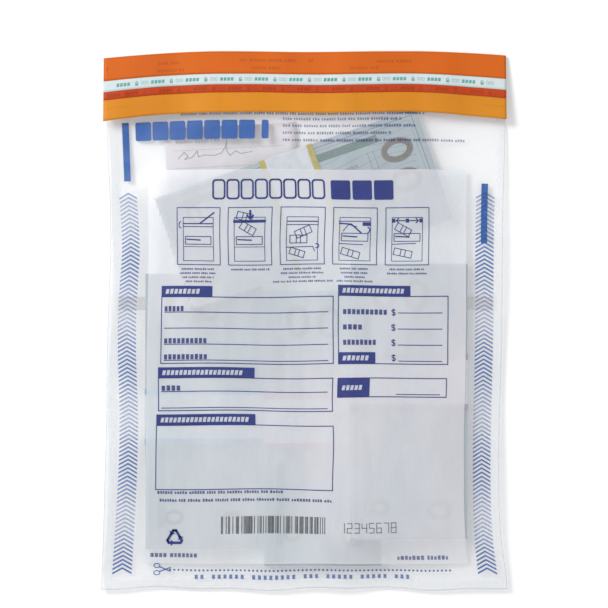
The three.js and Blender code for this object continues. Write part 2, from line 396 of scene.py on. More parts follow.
# %% Group: cloudy grain
grain_group, g_in, g_out = shader_group(
    "cloudy_grain",
    [("Vector", VECTOR, None), ("Scale", FLOAT, 100.0), ("Low", FLOAT, 0.0), ("High", FLOAT, 1.0)],
    [("Value", FLOAT)],
)
noise = grain_group.nodes.new("ShaderNodeTexNoise")
noise.inputs["Detail"].default_value = 4
spread = grain_group.nodes.new("ShaderNodeMapRange")
spread.inputs["From Min"].default_value = 0.3
spread.inputs["From Max"].default_value = 0.7
grain_group.links.new(g_in.outputs["Vector"], noise.inputs["Vector"])
grain_group.links.new(g_in.outputs["Scale"], noise.inputs["Scale"])
grain_group.links.new(noise.outputs["Fac"], spread.inputs["Value"])
grain_group.links.new(g_in.outputs["Low"], spread.inputs["To Min"])
grain_group.links.new(g_in.outputs["High"], spread.inputs["To Max"])
grain_group.links.new(spread.outputs["Result"], g_out.inputs["Value"])


def grain(tree, scale, low, high, stretch=(1, 1, 1)):
    """The grain group in a material, on Object coordinates, with its values set. Returns its output."""
    place = tree.nodes.new("ShaderNodeTexCoord")
    mapping = tree.nodes.new("ShaderNodeMapping")
    mapping.inputs["Scale"].default_value = stretch
    node = tree.nodes.new("ShaderNodeGroup")
    node.node_tree = grain_group
    node.inputs["Scale"].default_value = scale
    node.inputs["Low"].default_value = low
    node.inputs["High"].default_value = high
    tree.links.new(place.outputs["Object"], mapping.inputs["Vector"])
    tree.links.new(mapping.outputs["Vector"], node.inputs["Vector"])
    return node.outputs["Value"]


def add_bump(tree, shader, height, distance, strength=1.0):
    node = tree.nodes.new("ShaderNodeBump")
    node.inputs["Strength"].default_value = strength
    node.inputs["Distance"].default_value = distance
    tree.links.new(height, node.inputs["Height"])
    tree.links.new(node.outputs["Normal"], shader.inputs["Normal"])
    return node


def uneven_gloss(tree, shader, scale=120):
    """Roughness that varies a little about its set value, so that the gloss isn't the same all over."""
    middle = shader.inputs["Roughness"].default_value
    tree.links.new(grain(tree, scale, middle * 0.85, middle * 1.15), shader.inputs["Roughness"])


def two_tone(tree, shader, mask, dark, light):
    """Base colour between two colours by a mask."""
    mix = tree.nodes.new("ShaderNodeMix")
    mix.data_type = "RGBA"
    mix.inputs["A"].default_value = (*linear(dark), 1)
    mix.inputs["B"].default_value = (*linear(light), 1)
    tree.links.new(mask, mix.inputs["Factor"])
    tree.links.new(mix.outputs["Result"], shader.inputs["Base Color"])
    return mix


# %% [markdown]
# ## Clear film
#
# Polythene film is see-through with a little haze, and it turns milky where it is seen along its surface,
# at the flanks of a wrinkle. The alpha is low on flat film and rises with Layer Weight. A fine bump gives
# the crinkled gloss.

# %% Film material
def film_material(name, haze, steep_haze, color="ECEEF1", roughness=0.22, crinkled=0.35):
    material, shader = plain_material(name, linear(color), roughness)
    tree = material.node_tree
    uneven_gloss(tree, shader, 40)
    crinkle = grain(tree, 55, 0.0, 1.0, (1, 0.45, 1))
    bump_node = add_bump(tree, shader, crinkle, 0.3 * MM, crinkled)
    facing = tree.nodes.new("ShaderNodeLayerWeight")
    facing.inputs["Blend"].default_value = 0.35
    tree.links.new(bump_node.outputs["Normal"], facing.inputs["Normal"])
    rise = math_node(tree, "MULTIPLY", facing.outputs["Facing"], steep_haze)
    cloud = grain(tree, 26, haze * 0.8, haze * 1.2)
    total = math_node(tree, "ADD", rise, cloud)
    total = math_node(tree, "MINIMUM", total, 0.9)
    tree.links.new(total, shader.inputs["Alpha"])
    return material


front_film = film_material("front_film", 0.2, 0.45, "E6E8EB", crinkled=0.22)
inner_film = film_material("inner_film", 0.06, 0.15, "EBEDF0", crinkled=0.22)
weld_film = film_material("weld_film", 0.3, 0.2, "F2F4F7", crinkled=0.12)
print("film materials:", [m.name for m in (front_film, inner_film, weld_film)])

# %% [markdown]
# ## The three plies
#
# The front ply uses the settled heights. The middle ply is the back of the main pocket and stays almost
# flat under the contents. The rear ply covers the lower half only, and with the middle ply it makes the
# second pocket. All three follow the same drawn-in outline.

# %% Front, middle and rear plies
def ply(name, u, v, z, material):
    x, y = pulled(u, v)
    return grid_piece(name, np.stack([x, y, z + edge_lift(u, v)], axis=-1), material)


inside_mouth = grid_v[:, 0] <= MOUTH_Y
front_ply = ply("front_ply", grid_u[inside_mouth], grid_v[inside_mouth], grid_z[inside_mouth], front_film)
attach(front_ply, "bag")
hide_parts("front_film")

middle_u, middle_v = flat_grid((-HALF_WIDTH, HALF_WIDTH), (FOOT_Y, FOLD_Y), 3 * MM)
middle_z = EDGE_Z - 0.05 * MM + 0.25 * np.minimum(waves(middle_u, middle_v), 0.3 * MM)
middle_ply = ply("middle_ply", middle_u, middle_v, middle_z, inner_film)
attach(middle_ply, "bag")
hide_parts("middle_film")

_, rear_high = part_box("rear_film")
rear_u, rear_v = flat_grid((-HALF_WIDTH, HALF_WIDTH), (FOOT_Y, rear_high.y), 4 * MM)
rear_z = 0.05 * MM + 0.12 * MM * (1 + np.sin(rear_u / (14 * MM)) * np.sin(rear_v / (19 * MM)))
rear_ply = ply("rear_ply", rear_u, rear_v, rear_z, inner_film)
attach(rear_ply, "bag")
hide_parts("rear_film")
print("plies:", [len(p.data.polygons) for p in (front_ply, middle_ply, rear_ply)], "faces")

# %% [markdown]
# ## Geometry Nodes for what repeats
#
# Chevrons, dots, code bars and the leaves of a pile are all one shape repeated in a row. One tree does it:
# the object's own mesh is the shape, and the inputs say how many, how far apart, how many are left out and
# how much each is moved, turned or shrunk at random. The result is turned into a plain mesh, so no live
# modifier is left.

# %% Tree: row of copies
row_tree = bpy.data.node_groups.new("row_of_copies", "GeometryNodeTree")
ROW_INPUTS = {
    "Geometry": "NodeSocketGeometry",
    "Count": "NodeSocketInt",
    "Step": "NodeSocketVector",
    "Slide": "NodeSocketVector",
    "Turn": "NodeSocketFloat",
    "Least Size": "NodeSocketVector",
    "Left Out": "NodeSocketFloat",
    "Seed": "NodeSocketInt",
    "Material": "NodeSocketMaterial",
}
for socket_name, kind in ROW_INPUTS.items():
    row_tree.interface.new_socket(socket_name, in_out="INPUT", socket_type=kind)
row_tree.interface.new_socket("Geometry", in_out="OUTPUT", socket_type="NodeSocketGeometry")


def build_row_tree(tree):
    nodes, links = tree.nodes, tree.links
    given, result = nodes.new("NodeGroupInput"), nodes.new("NodeGroupOutput")

    def random(kind, seed_offset):
        node = nodes.new("FunctionNodeRandomValue")
        node.data_type = kind
        shifted = nodes.new("FunctionNodeIntegerMath")
        shifted.inputs[1].default_value = seed_offset
        links.new(given.outputs["Seed"], shifted.inputs[0])
        seed = next(s for s in node.inputs if s.name == "Seed")
        links.new(shifted.outputs[0], seed)
        return node

    line = nodes.new("GeometryNodeMeshLine")
    links.new(given.outputs["Count"], line.inputs["Count"])
    links.new(given.outputs["Step"], line.inputs["Offset"])
    drop = random("BOOLEAN", 1)
    links.new(given.outputs["Left Out"], next(s for s in drop.inputs if s.name == "Probability"))
    thin = nodes.new("GeometryNodeDeleteGeometry")
    links.new(line.outputs["Mesh"], thin.inputs["Geometry"])
    links.new(drop.outputs[3], thin.inputs["Selection"])

    slide = random("FLOAT_VECTOR", 2)
    back = nodes.new("ShaderNodeVectorMath")
    back.operation = "SCALE"
    back.inputs["Scale"].default_value = -1
    links.new(given.outputs["Slide"], back.inputs[0])
    links.new(back.outputs[0], slide.inputs[0])
    links.new(given.outputs["Slide"], slide.inputs[1])
    move = nodes.new("GeometryNodeSetPosition")
    links.new(thin.outputs["Geometry"], move.inputs["Geometry"])
    links.new(slide.outputs[0], move.inputs["Offset"])

    turn = random("FLOAT", 3)
    negative = nodes.new("ShaderNodeMath")
    negative.operation = "MULTIPLY"
    negative.inputs[1].default_value = -1
    links.new(given.outputs["Turn"], negative.inputs[0])
    links.new(negative.outputs[0], turn.inputs[2])
    links.new(given.outputs["Turn"], turn.inputs[3])
    about_z = nodes.new("ShaderNodeCombineXYZ")
    links.new(turn.outputs[1], about_z.inputs["Z"])
    size = random("FLOAT_VECTOR", 4)
    links.new(given.outputs["Least Size"], size.inputs[0])
    size.inputs[1].default_value = (1, 1, 1)

    copies = nodes.new("GeometryNodeInstanceOnPoints")
    links.new(move.outputs["Geometry"], copies.inputs["Points"])
    links.new(given.outputs["Geometry"], copies.inputs["Instance"])
    links.new(about_z.outputs[0], copies.inputs["Rotation"])
    links.new(size.outputs[0], copies.inputs["Scale"])
    real = nodes.new("GeometryNodeRealizeInstances")
    finish = nodes.new("GeometryNodeSetMaterial")
    links.new(copies.outputs["Instances"], real.inputs["Geometry"])
    links.new(real.outputs["Geometry"], finish.inputs["Geometry"])
    links.new(given.outputs["Material"], finish.inputs["Material"])
    links.new(finish.outputs["Geometry"], result.inputs["Geometry"])


build_row_tree(row_tree)


# %% Run the tree and keep a plain mesh
def row_of_copies(points, faces, material, count, step, **inputs):
    """Copies of a small shape in a row, as a list of points and faces."""
    mesh = bpy.data.meshes.new("shape")
    mesh.from_pydata(points, [], faces)
    holder = bpy.data.objects.new("row", mesh)
    bpy.context.scene.collection.objects.link(holder)
    modifier = holder.modifiers.new("row", "NODES")
    values = {"Count": count, "Step": step, "Slide": (0, 0, 0), "Turn": 0.0, "Least Size": (1, 1, 1)}
    values.update({"Left Out": 0.0, "Seed": 1, "Material": material})
    values.update({key.replace("_", " ").title(): value for key, value in inputs.items()})
    modifier.node_group = row_tree
    for item in row_tree.interface.items_tree:
        if item.in_out == "INPUT" and item.name in values:
            modifier[item.identifier] = values[item.name]
    bpy.context.view_layer.update()
    graph = bpy.context.evaluated_depsgraph_get()
    plain = bpy.data.meshes.new_from_object(holder.evaluated_get(graph))
    corners = np.array([v.co for v in plain.vertices]).reshape(-1, 3)
    outlines = [list(p.vertices) for p in plain.polygons]
    bpy.data.objects.remove(holder)
    bpy.data.meshes.remove(plain)
    return corners, outlines


# %% [markdown]
# ## Ink
#
# Print is very thin ink on top of the film. Each colour is one mesh of small flat shapes, and every corner
# of a shape is set down on the film at its own height, so the print bends with the bag. Words are only
# suggested: rows of small blocks stand for lines of text.

# %% A sheet of ink that collects shapes
INK_STEP = 1.8  # the largest cell in an inked shape, in mm


class InkLayer:
    """Flat shapes in millimetres on the unfolded bag, each with its own strength of ink."""

    def __init__(self):
        self.points, self.faces, self.strength = [], [], []

    def add(self, points, faces, strength=1.0):
        start = len(self.points)
        self.points.extend((float(p[0]), float(p[1])) for p in points)
        self.faces.extend([start + i for i in face] for face in faces)
        self.strength.extend([strength] * len(points))

    def block(self, x0, x1, y0, y1, strength=1.0, slant=0.0):
        """A filled rectangle in small cells. Slant moves its top edge sideways."""
        nx = max(1, math.ceil((x1 - x0) / INK_STEP))
        ny = max(1, math.ceil((y1 - y0) / INK_STEP))
        points = []
        for j in range(ny + 1):
            shift = slant * j / ny
            points += [(x0 + (x1 - x0) * i / nx + shift, y0 + (y1 - y0) * j / ny) for i in range(nx + 1)]
        faces = []
        for j in range(ny):
            for i in range(nx):
                a = j * (nx + 1) + i
                faces.append([a, a + 1, a + nx + 2, a + nx + 1])
        self.add(points, faces, strength)

    def stroke(self, path, width, strength=1.0, closed=False):
        """A line of constant width along points."""
        path = [np.array(p, float) for p in path]
        if closed:
            path.append(path[0])
        for a, b in zip(path, path[1:]):
            length = np.linalg.norm(b - a)
            if length < 1e-6:
                continue
            ahead = (b - a) / length
            side = np.array([-ahead[1], ahead[0]]) * width / 2
            a, b = a - ahead * width * 0.3, b + ahead * width * 0.3
            cells = max(1, math.ceil(length / INK_STEP))
            points = []
            for i in range(cells + 1):
                p = a + (b - a) * i / cells
                points += [p - side, p + side]
            self.add(points, [[2 * i, 2 * i + 2, 2 * i + 3, 2 * i + 1] for i in range(cells)], strength)

    def frame(self, x0, x1, y0, y1, width, strength=1.0):
        self.stroke([(x0, y0), (x1, y0), (x1, y1), (x0, y1)], width, strength, closed=True)

    def arc(self, x, y, rx, ry, width, start=0, end=360, strength=1.0, sides=24):
        angles = np.radians(np.linspace(start, end, sides + 1))
        self.stroke([(x + rx * math.cos(a), y + ry * math.sin(a)) for a in angles], width, strength)

    def laid(self, name, place, material):
        """The shapes as one mesh. place turns arrays of x and y in metres into points."""
        flat = np.array(self.points) * MM
        piece = new_piece(name, place(flat[:, 0], flat[:, 1]), self.faces, material)
        ink = piece.data.attributes.new("ink", "FLOAT", "POINT")
        ink.data.foreach_set("value", np.array(self.strength, np.float32))
        return piece


print("ink layers hold shapes in millimetres")

# %% [markdown]
# ## The ink's finish
#
# Flexographic ink on film is never quite even: tiny pinholes and a mottle show. The strength that a shape
# was given is kept on its points as an attribute, and the material multiplies it with a fine grain to get
# the alpha. The same recipe makes every ink, with another colour.

# %% Ink material
def ink_material(name, color, cover=0.95, mottle=0.15, roughness=0.4):
    material, shader = plain_material(name, linear(color), roughness)
    tree = material.node_tree
    strength = tree.nodes.new("ShaderNodeAttribute")
    strength.attribute_name = "ink"
    uneven_gloss(tree, shader)
    add_bump(tree, shader, grain(tree, 600, 0, 1), 0.02 * MM, 0.3)
    spots = grain(tree, 900, cover - mottle, cover + 0.05)
    alpha = math_node(tree, "MULTIPLY", strength.outputs["Fac"], spots)
    tree.links.new(alpha, shader.inputs["Alpha"])
    tone = tree.nodes.new("ShaderNodeMix")
    tone.data_type = "RGBA"
    tone.inputs["A"].default_value = (*[c * 0.82 for c in linear(color)], 1)
    tone.inputs["B"].default_value = (*linear(color), 1)
    tree.links.new(grain(tree, 70, 0, 1), tone.inputs["Factor"])
    tree.links.new(tone.outputs["Result"], shader.inputs["Base Color"])
    return material


blue_ink = ink_material("blue_ink", "2A5EAA", cover=0.97, mottle=0.08)
navy_ink = ink_material("navy_ink", "2C3A86")
grey_ink = ink_material("grey_ink", "4A4C52", cover=0.9)
teal_ink = ink_material("teal_ink", "5FB3A8", cover=0.9)
ghost_ink = ink_material("ghost_ink", "8E2A12", cover=0.5)

# %% [markdown]
# ## Rows of suggested words
#
# Small print is shown the way a layout draft shows it: each letter is a small block, each word a few
# blocks, and nothing can be read. A fixed seed keeps the word lengths the same on each run. Larger headings
# get solid blocks or rounded outlines, so that they keep the weight and the rhythm of lettering.

# %% Suggested words
draft = np.random.default_rng(7)


def word_blocks(layer, x0, x1, y, height, strength=1.0, gap=0.28, slant=0.0):
    """Letter-like blocks between x0 and x1, standing on y. A word ends now and then."""
    wide = height * 0.72
    x, left_in_word = x0, int(draft.integers(3, 8))
    while x + wide <= x1 + 0.01:
        letter = wide * draft.uniform(0.7, 1.1)
        rise = height * draft.choice([1.0, 1.0, 0.92, 0.8])
        layer.block(x, min(x + letter, x1), y, y + rise, strength, slant)
        x += letter + gap * height
        left_in_word -= 1
        if left_in_word == 0:
            x += height * 0.55
            left_in_word = int(draft.integers(3, 8))


def solid_word(layer, x0, x1, y0, y1, count, gap=0.9):
    """A heading word as equal solid blocks with clipped corners."""
    pitch = (x1 - x0 + gap) / count
    for index in range(count):
        x = x0 + index * pitch
        layer.block(x, x + pitch - gap, y0 + 0.5, y1 - 0.5)
        layer.block(x + 0.5, x + pitch - gap - 0.5, y0, y0 + 0.5)
        layer.block(x + 0.5, x + pitch - gap - 0.5, y1 - 0.5, y1)


def outlined_word(layer, x0, x1, y0, y1, count, weight, gap=1.5):
    """A heading word as equal rounded outlines."""
    pitch = (x1 - x0 + gap) / count
    for index in range(count):
        left, right = x0 + index * pitch, x0 + (index + 1) * pitch - gap
        corner = (right - left) * 0.25
        path = []
        corners = [(right, y1, -1, -1, 0), (left, y1, 1, -1, 90)]
        corners += [(left, y0, 1, 1, 180), (right, y0, -1, 1, 270)]
        for cx, cy, toward_x, toward_y, first in corners:
            for step in range(4):
                angle = math.radians(first + step * 30)
                x = cx + toward_x * corner + corner * math.cos(angle)
                path.append((x, cy + toward_y * corner + corner * math.sin(angle)))
        layer.stroke(path, weight, closed=True)


# %% Place on the front ply
def on_front(lift):
    """A function that sets points of the flat bag down on the front ply, lifted a little."""

    def place(u, v):
        x, y = pulled(u, v)
        return np.stack([x, y, film_z(u, v) + edge_lift(u, v) + lift], axis=-1)

    return place


PANEL_LIFT = 0.12 * MM
INK_LIFT = 0.3 * MM

# %% [markdown]
# ## The write-on panel
#
# A large patch of the front is printed with matt translucent white, so that a pen holds on it. It hides the
# contents to a haze. It is one patch of the front ply's surface, lifted by the thickness of its ink.

# %% The white panel
PANEL = {"x0": -90.9, "x1": 93.0, "y0": -138.3, "y1": 85.4}


def panel_material():
    material, shader = plain_material("write_on_white", linear("E8EBEE"), 0.5)
    tree = material.node_tree
    two_tone(tree, shader, grain(tree, 16, 0, 1, (1, 0.6, 1)), "E8F0F5", "F2F0F6")
    uneven_gloss(tree, shader, 60)
    add_bump(tree, shader, grain(tree, 420, 0, 1), 0.08 * MM, 0.5)
    cloud = grain(tree, 38, 0.54, 0.7, (1, 0.4, 1))
    facing = tree.nodes.new("ShaderNodeLayerWeight")
    facing.inputs["Blend"].default_value = 0.3
    steep = math_node(tree, "MULTIPLY", facing.outputs["Facing"], 0.25)
    tree.links.new(math_node(tree, "ADD", cloud, steep), shader.inputs["Alpha"])
    return material


panel_u, panel_v = flat_grid(
    (PANEL["x0"] * MM, PANEL["x1"] * MM), (PANEL["y0"] * MM, PANEL["y1"] * MM), 1.6 * MM
)
panel_points = on_front(PANEL_LIFT)(panel_u.ravel(), panel_v.ravel()).reshape(*panel_u.shape, 3)
write_on_panel = grid_piece("write_on_panel", panel_points, panel_material())
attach(write_on_panel, "bag")
print("panel, mm:", round(PANEL["x1"] - PANEL["x0"], 1), "by", round(PANEL["y1"] - PANEL["y0"], 1))

# %% [markdown]
# ## The blue print
#
# Down each side runs a column of chevrons, so that a cut through the side would show. One chevron is drawn
# and Geometry Nodes repeats it. Its ink gets weaker and stronger along the bag, as the printing roller left
# it. Above are a heavy heading and a bar on each side. At the foot a row of dots with a pair of scissors
# shows where to cut.

# %% Chevron columns
CHEVRON = {"pitch": 2.373, "half": 5.4, "drop": 3.0, "stroke": 0.95, "count": 91, "foot": -143.9}
COLUMNS = (-103.7, 103.9)
blue = InkLayer()


def chevron_shape():
    """One chevron's outline about its lower tips' middle."""
    half, drop, stroke = CHEVRON["half"], CHEVRON["drop"], CHEVRON["stroke"]
    points = []
    for part in range(-3, 4):
        x = half * part / 3
        y = drop * (1 - abs(part) / 3)
        points += [(x, y - stroke / 2, 0), (x, y + stroke / 2, 0)]
    faces = [[2 * i, 2 * i + 2, 2 * i + 3, 2 * i + 1] for i in range(6)]
    return points, faces


def printed_fade(y):
    """Strength of the column's ink along the bag."""
    wave = 0.5 - 0.5 * math.cos((y - 3) / 58 * 2 * math.pi)
    return 0.55 + 0.45 * wave


def print_drift(column_x, y):
    """How far a column stands in from its line, mm: the left one was printed a little askew."""
    return 2.6 * bump(y, -72, 58) + 1.7 * bump(y, 42, 26) if column_x < 0 else 0.0


shape = chevron_shape()
for column_x in COLUMNS:
    points, faces = row_of_copies(*shape, blue_ink, CHEVRON["count"], (0, CHEVRON["pitch"], 0))
    for face in faces:
        corners = points[face][:, :2] + (column_x, CHEVRON["foot"])
        corners[:, 0] += print_drift(column_x, corners[0][1])
        blue.add(corners, [[0, 1, 2, 3]], printed_fade(corners[0][1]))
print("chevrons:", 2 * CHEVRON["count"])

# %% Bars and heading
blue.block(-105.4, -101.4, 79.7, 113.8)
blue.block(101.6, 105.4, 43.8, 78.0)
solid_word(blue, -97.6, -28.4, 102.8, 113.6, 7)
solid_word(blue, -24.6, -20.6, 102.8, 113.6, 1)
print("shapes in blue:", len(blue.faces))

# %% Dots and scissors at the foot
DOT = 1.05
points, faces = row_of_copies(
    [(0, 0, 0), (DOT, 0, 0), (DOT, DOT, 0), (0, DOT, 0)], [[0, 1, 2, 3]], blue_ink, 69, (2.335, 0, 0)
)
for face in faces:
    blue.add(points[face][:, :2] + (-76.6, -142.6), [[0, 1, 2, 3]])
for sign in (-1, 1):
    blue.arc(-83.6, -141.9 + sign * 2.2, 1.7, 1.3, 0.5, sides=12)
    blue.stroke([(-82.2, -141.9 + sign * 1.5), (-76.0, -141.9 - sign * 1.1)], 0.7)
for index in range(38):
    if index not in (2, 9, 18, 22, 28, 34):
        x = -62.3 + index * 3.24
        blue.block(x, x + 1.7, -147.0, -144.6, 0.8)

blue_print = blue.laid("blue_print", on_front(INK_LIFT), blue_ink)
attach(blue_print, "bag")

# %% [markdown]
# ## The navy print on the panel
#
# The panel carries a two-weight heading, five small pictures of how the bag is used, and a form with boxes,
# lines and solid tabs. A block of small lines stands above it in the same ink. The pictures are line
# drawings of a bag, made by a function from a few parts: the outline, the flap, the label and the notes
# that go in.

# %% Panel heading and small lines
navy = InkLayer()
small_lines = [(-71.0, 68.0, 116.7, 1.4), (-12.5, 55.0, 113.6, 1.5), (-12.5, 64.0, 109.7, 1.5)]
small_lines += [(-12.5, 49.0, 105.6, 1.5), (-12.5, 92.0, 101.4, 1.5)]
for x0, x1, y, height in small_lines:
    word_blocks(navy, x0, x1, y, height, 0.62)
outlined_word(navy, -52.8, 10.8, 68.9, 79.4, 8, 0.95)
solid_word(navy, 14.6, 50.6, 68.4, 79.4, 3, 1.2)
print("small lines above the panel:", len(small_lines))


# %% One picture frame with a little bag in it
LINE = 0.42


def little_notes(layer, x, y, angle, length=9.0, width=4.2):
    """A strapped pack of notes, turned by angle in degrees."""
    turn = math.radians(angle)
    ahead = np.array([math.cos(turn), math.sin(turn)])
    side = np.array([-ahead[1], ahead[0]])

    def at(a, b):
        return np.array([x, y]) + ahead * a * length / 2 + side * b * width / 2

    layer.stroke([at(-1, -1), at(1, -1), at(1, 1), at(-1, 1)], LINE, closed=True)
    layer.stroke([at(-0.25, -1), at(-0.25, 1)], LINE)
    layer.stroke([at(0.25, -1), at(0.25, 1)], LINE)


def picture(layer, x, contents):
    """A frame 25 mm wide whose left side is at x, with a small bag and what contents draws."""
    layer.frame(x, x + 25.0, 31.4, 63.8, LINE)
    layer.frame(x + 3.6, x + 21.2, 33.6, 58.2, LINE * 0.8)
    contents(layer, x)


def label_box(layer, x, y):
    layer.frame(x + 4.8, x + 19.8, y, y + 4.4, LINE)
    layer.stroke([(x + 5.6, y + 2.8), (x + 13.6, y + 2.4)], 0.7)


def peel_liner(layer, x):
    layer.block(x + 3.4, x + 21.2, 54.4, 55.0)
    layer.stroke([(x + 3.4, 53.0), (x + 21.2, 53.0)], LINE)
    layer.stroke([(x + 13.4, 54.8), (x + 21.6, 61.0)], 0.8)
    layer.arc(x + 2.2, 54.0, 1.1, 1.8, 0.5, 90, 270, sides=8)
    label_box(layer, x, 43.0)
    layer.stroke([(x + 3.6, 41.6), (x + 21.2, 41.6)], LINE * 0.7)


def put_notes_in(layer, x):
    layer.block(x + 3.0, x + 21.6, 55.2, 56.8)
    little_notes(layer, x + 9.4, 58.6, -14)
    little_notes(layer, x + 11.4, 52.0, -30)
    layer.stroke([(x + 12.6, 62.0), (x + 12.6, 58.6)], 1.2)
    layer.stroke([(x + 10.8, 59.4), (x + 12.6, 57.4), (x + 14.4, 59.4)], 0.9)
    label_box(layer, x, 43.0)
    layer.stroke([(x + 3.6, 41.6), (x + 21.2, 41.6)], LINE * 0.7)


def use_rear_pocket(layer, x):
    layer.block(x + 3.6, x + 21.2, 55.4, 56.0)
    layer.stroke([(x + 3.6, 53.8), (x + 21.2, 53.8)], LINE)
    little_notes(layer, x + 13.0, 49.8, 24)
    little_notes(layer, x + 10.4, 45.6, 0, 9.6, 4.4)
    layer.stroke([(x + 3.6, 41.0), (x + 18.6, 41.4), (x + 19.6, 38.8)], LINE)
    little_notes(layer, x + 9.6, 38.0, -18, 8.4, 3.6)
    layer.arc(x + 20.8, 41.8, 1.2, 1.2, 0.5, -120, 120, sides=8)


def fold_flap_down(layer, x):
    layer.stroke([(x + 3.0, 56.0), (x + 21.2, 56.2)], LINE)
    layer.block(x + 16.6, x + 21.2, 53.6, 55.6)
    layer.stroke([(x + 3.4, 54.8), (x + 10.2, 54.4), (x + 15.8, 49.6)], 0.8)
    layer.arc(x + 19.6, 51.2, 1.1, 1.6, 0.6, -90, 90, sides=8)
    layer.stroke([(x + 5.6, 50.4), (x + 8.6, 54.2), (x + 13.4, 53.0)], LINE)
    label_box(layer, x, 44.8)
    layer.stroke([(x + 3.6, 43.2), (x + 17.0, 42.8)], LINE)
    little_notes(layer, x + 10.0, 37.8, -16, 10.4, 3.8)


def press_to_seal(layer, x):
    layer.block(x + 3.4, x + 5.4, 55.4, 57.6)
    layer.block(x + 11.4, x + 13.4, 55.4, 57.6)
    layer.block(x + 19.4, x + 21.4, 55.4, 57.6)
    for x0, x1 in ((x + 6.0, x + 11.0), (x + 18.8, x + 13.8)):
        layer.stroke([(x0, 56.5), (x1, 56.5)], 0.6)
        back = 1.4 if x1 > x0 else -1.4
        layer.stroke([(x0 + back, 57.8), (x0, 56.5), (x0 + back, 55.2)], 0.6)
    little_notes(layer, x + 10.0, 51.4, -28)
    label_box(layer, x, 44.8)
    layer.stroke([(x + 4.0, 43.2), (x + 17.4, 43.6)], LINE)
    little_notes(layer, x + 10.0, 38.2, -12, 10.4, 3.8)


# %% The five pictures and their captions
PICTURE_X = (-73.6, -43.8, -13.8, 16.0, 46.0)
STEPS = (peel_liner, put_notes_in, use_rear_pocket, fold_flap_down, press_to_seal)
CAPTION_LINES = ((20, 22, 19, 15), (22,), (22, 25, 16, 34), (17, 16, 12, 21), (20, 23))
for x, contents, lengths in zip(PICTURE_X, STEPS, CAPTION_LINES):
    picture(navy, x, contents)
    for row, length in enumerate(lengths):
        start = x + 12.5 - length / 2
        word_blocks(navy, start, start + length, 28.4 - row * 2.35, 1.05, 0.75)
print("pictures:", len(STEPS))


# %% The form
def labelled(layer, x0, x1, y, height=3.0, slant=0.0):
    """A bold label of letter blocks."""
    count = max(2, round((x1 - x0) / (height * 0.86)))
    pitch = (x1 - x0) / count
    for index in range(count):
        x = x0 + index * pitch
        layer.block(x, x + pitch * 0.72, y, y + height * (0.94, 1.0, 0.97)[index % 3], 0.82, slant)


def dollar(layer, x, y, height=3.3):
    """The money sign."""
    r = height * 0.24
    layer.arc(x, y + height / 2 + r, r * 1.2, r, 0.5, 20, 270, sides=10)
    layer.arc(x, y + height / 2 - r, r * 1.2, r, 0.5, -160, 90, sides=10)
    layer.stroke([(x, y - 0.3), (x, y + height + 0.3)], 0.4)


FORM_LINE = 0.5
tab_marks = InkLayer()


def tab(x0, x1, y0, y1, text_end):
    """A solid tab with a light label."""
    navy.block(x0, x1, y0, y1)
    labelled(tab_marks, x0 + 2.4, text_end, (y0 + y1) / 2 - 1.4, 2.8, slant=0.55)


navy.frame(-82.6, 15.9, -24.6, 13.1, FORM_LINE)
tab(-82.8, -53.0, 13.1, 19.3, -60.0)
for row, label_end in enumerate((-69.0, None, -55.6, -55.2)):
    y = 4.4 - row * 9.1
    navy.stroke([(-80.8, y), (13.0, y)], 0.45)
    if label_end:
        labelled(navy, -80.8, label_end, y + 0.5)
navy.frame(-84.0, 15.9, -51.3, -32.8, FORM_LINE)
tab(-84.2, -28.4, -32.8, -26.8, -35.0)
for y in (-40.5, -49.8):
    navy.stroke([(-82.2, y), (13.0, y)], 0.45)
labelled(navy, -82.2, -70.6, -40.0)
navy.frame(-85.0, 15.9, -96.0, -59.6, FORM_LINE)
tab(-85.2, -28.4, -59.6, -53.4, -32.0)
navy.frame(18.9, 82.4, -24.9, 13.6, FORM_LINE)
tab(18.7, 60.4, 13.6, 19.6, 57.0)
for row, label_end in enumerate((47.4, 33.2, 41.0, None)):
    y = 4.2 - row * 9.15
    navy.stroke([(53.2, y), (79.0, y)], 0.45)
    dollar(navy, 50.6, y - 1.4 + row * 0.5)
    if label_end:
        labelled(navy, 21.6, label_end, y - 1.2 + row * 0.5)
tab(18.7, 40.0, -24.9, -18.4, 36.4)
navy.frame(18.9, 81.8, -43.6, -33.0, FORM_LINE)
tab(18.7, 37.0, -43.6, -33.0, 33.0)
navy.stroke([(52.4, -42.2), (78.0, -42.2)], 0.45)
word_blocks(navy, -84.0, -12.0, -98.4, 1.6, 0.75)
word_blocks(navy, -82.6, 16.0, -102.8, 1.6, 0.75)
word_blocks(navy, -87.4, -61.0, -134.6, 2.4, 0.7)
word_blocks(navy, 52.8, 84.2, -136.0, 2.4, 0.65)

# %% Loop of three arrows: the film can be reused
LOOP = {"x": -73.8, "y": -123.4, "reach": 5.6, "weight": 1.5}


def loop_corner(index):
    angle = math.radians(90 + index * 120)
    x = LOOP["x"] + LOOP["reach"] * math.cos(angle)
    y = LOOP["y"] + LOOP["reach"] * math.sin(angle)
    return np.array([x, y])


for index in range(3):
    before, corner, after = (loop_corner(index + k) for k in (0, 1, 2))
    start = before * 0.6 + corner * 0.4
    bend = [before * 0.16 + corner * 0.84, corner * 0.84 + after * 0.16]
    tip = corner * 0.52 + after * 0.48
    neck = corner * 0.72 + after * 0.28
    navy.stroke([start, bend[0], bend[1], neck], LOOP["weight"])
    side = np.array([-(tip - neck)[1], (tip - neck)[0]])
    side *= LOOP["weight"] * 1.25 / np.linalg.norm(side)
    navy.add([neck + side, neck - side, tip], [[0, 1, 2]])

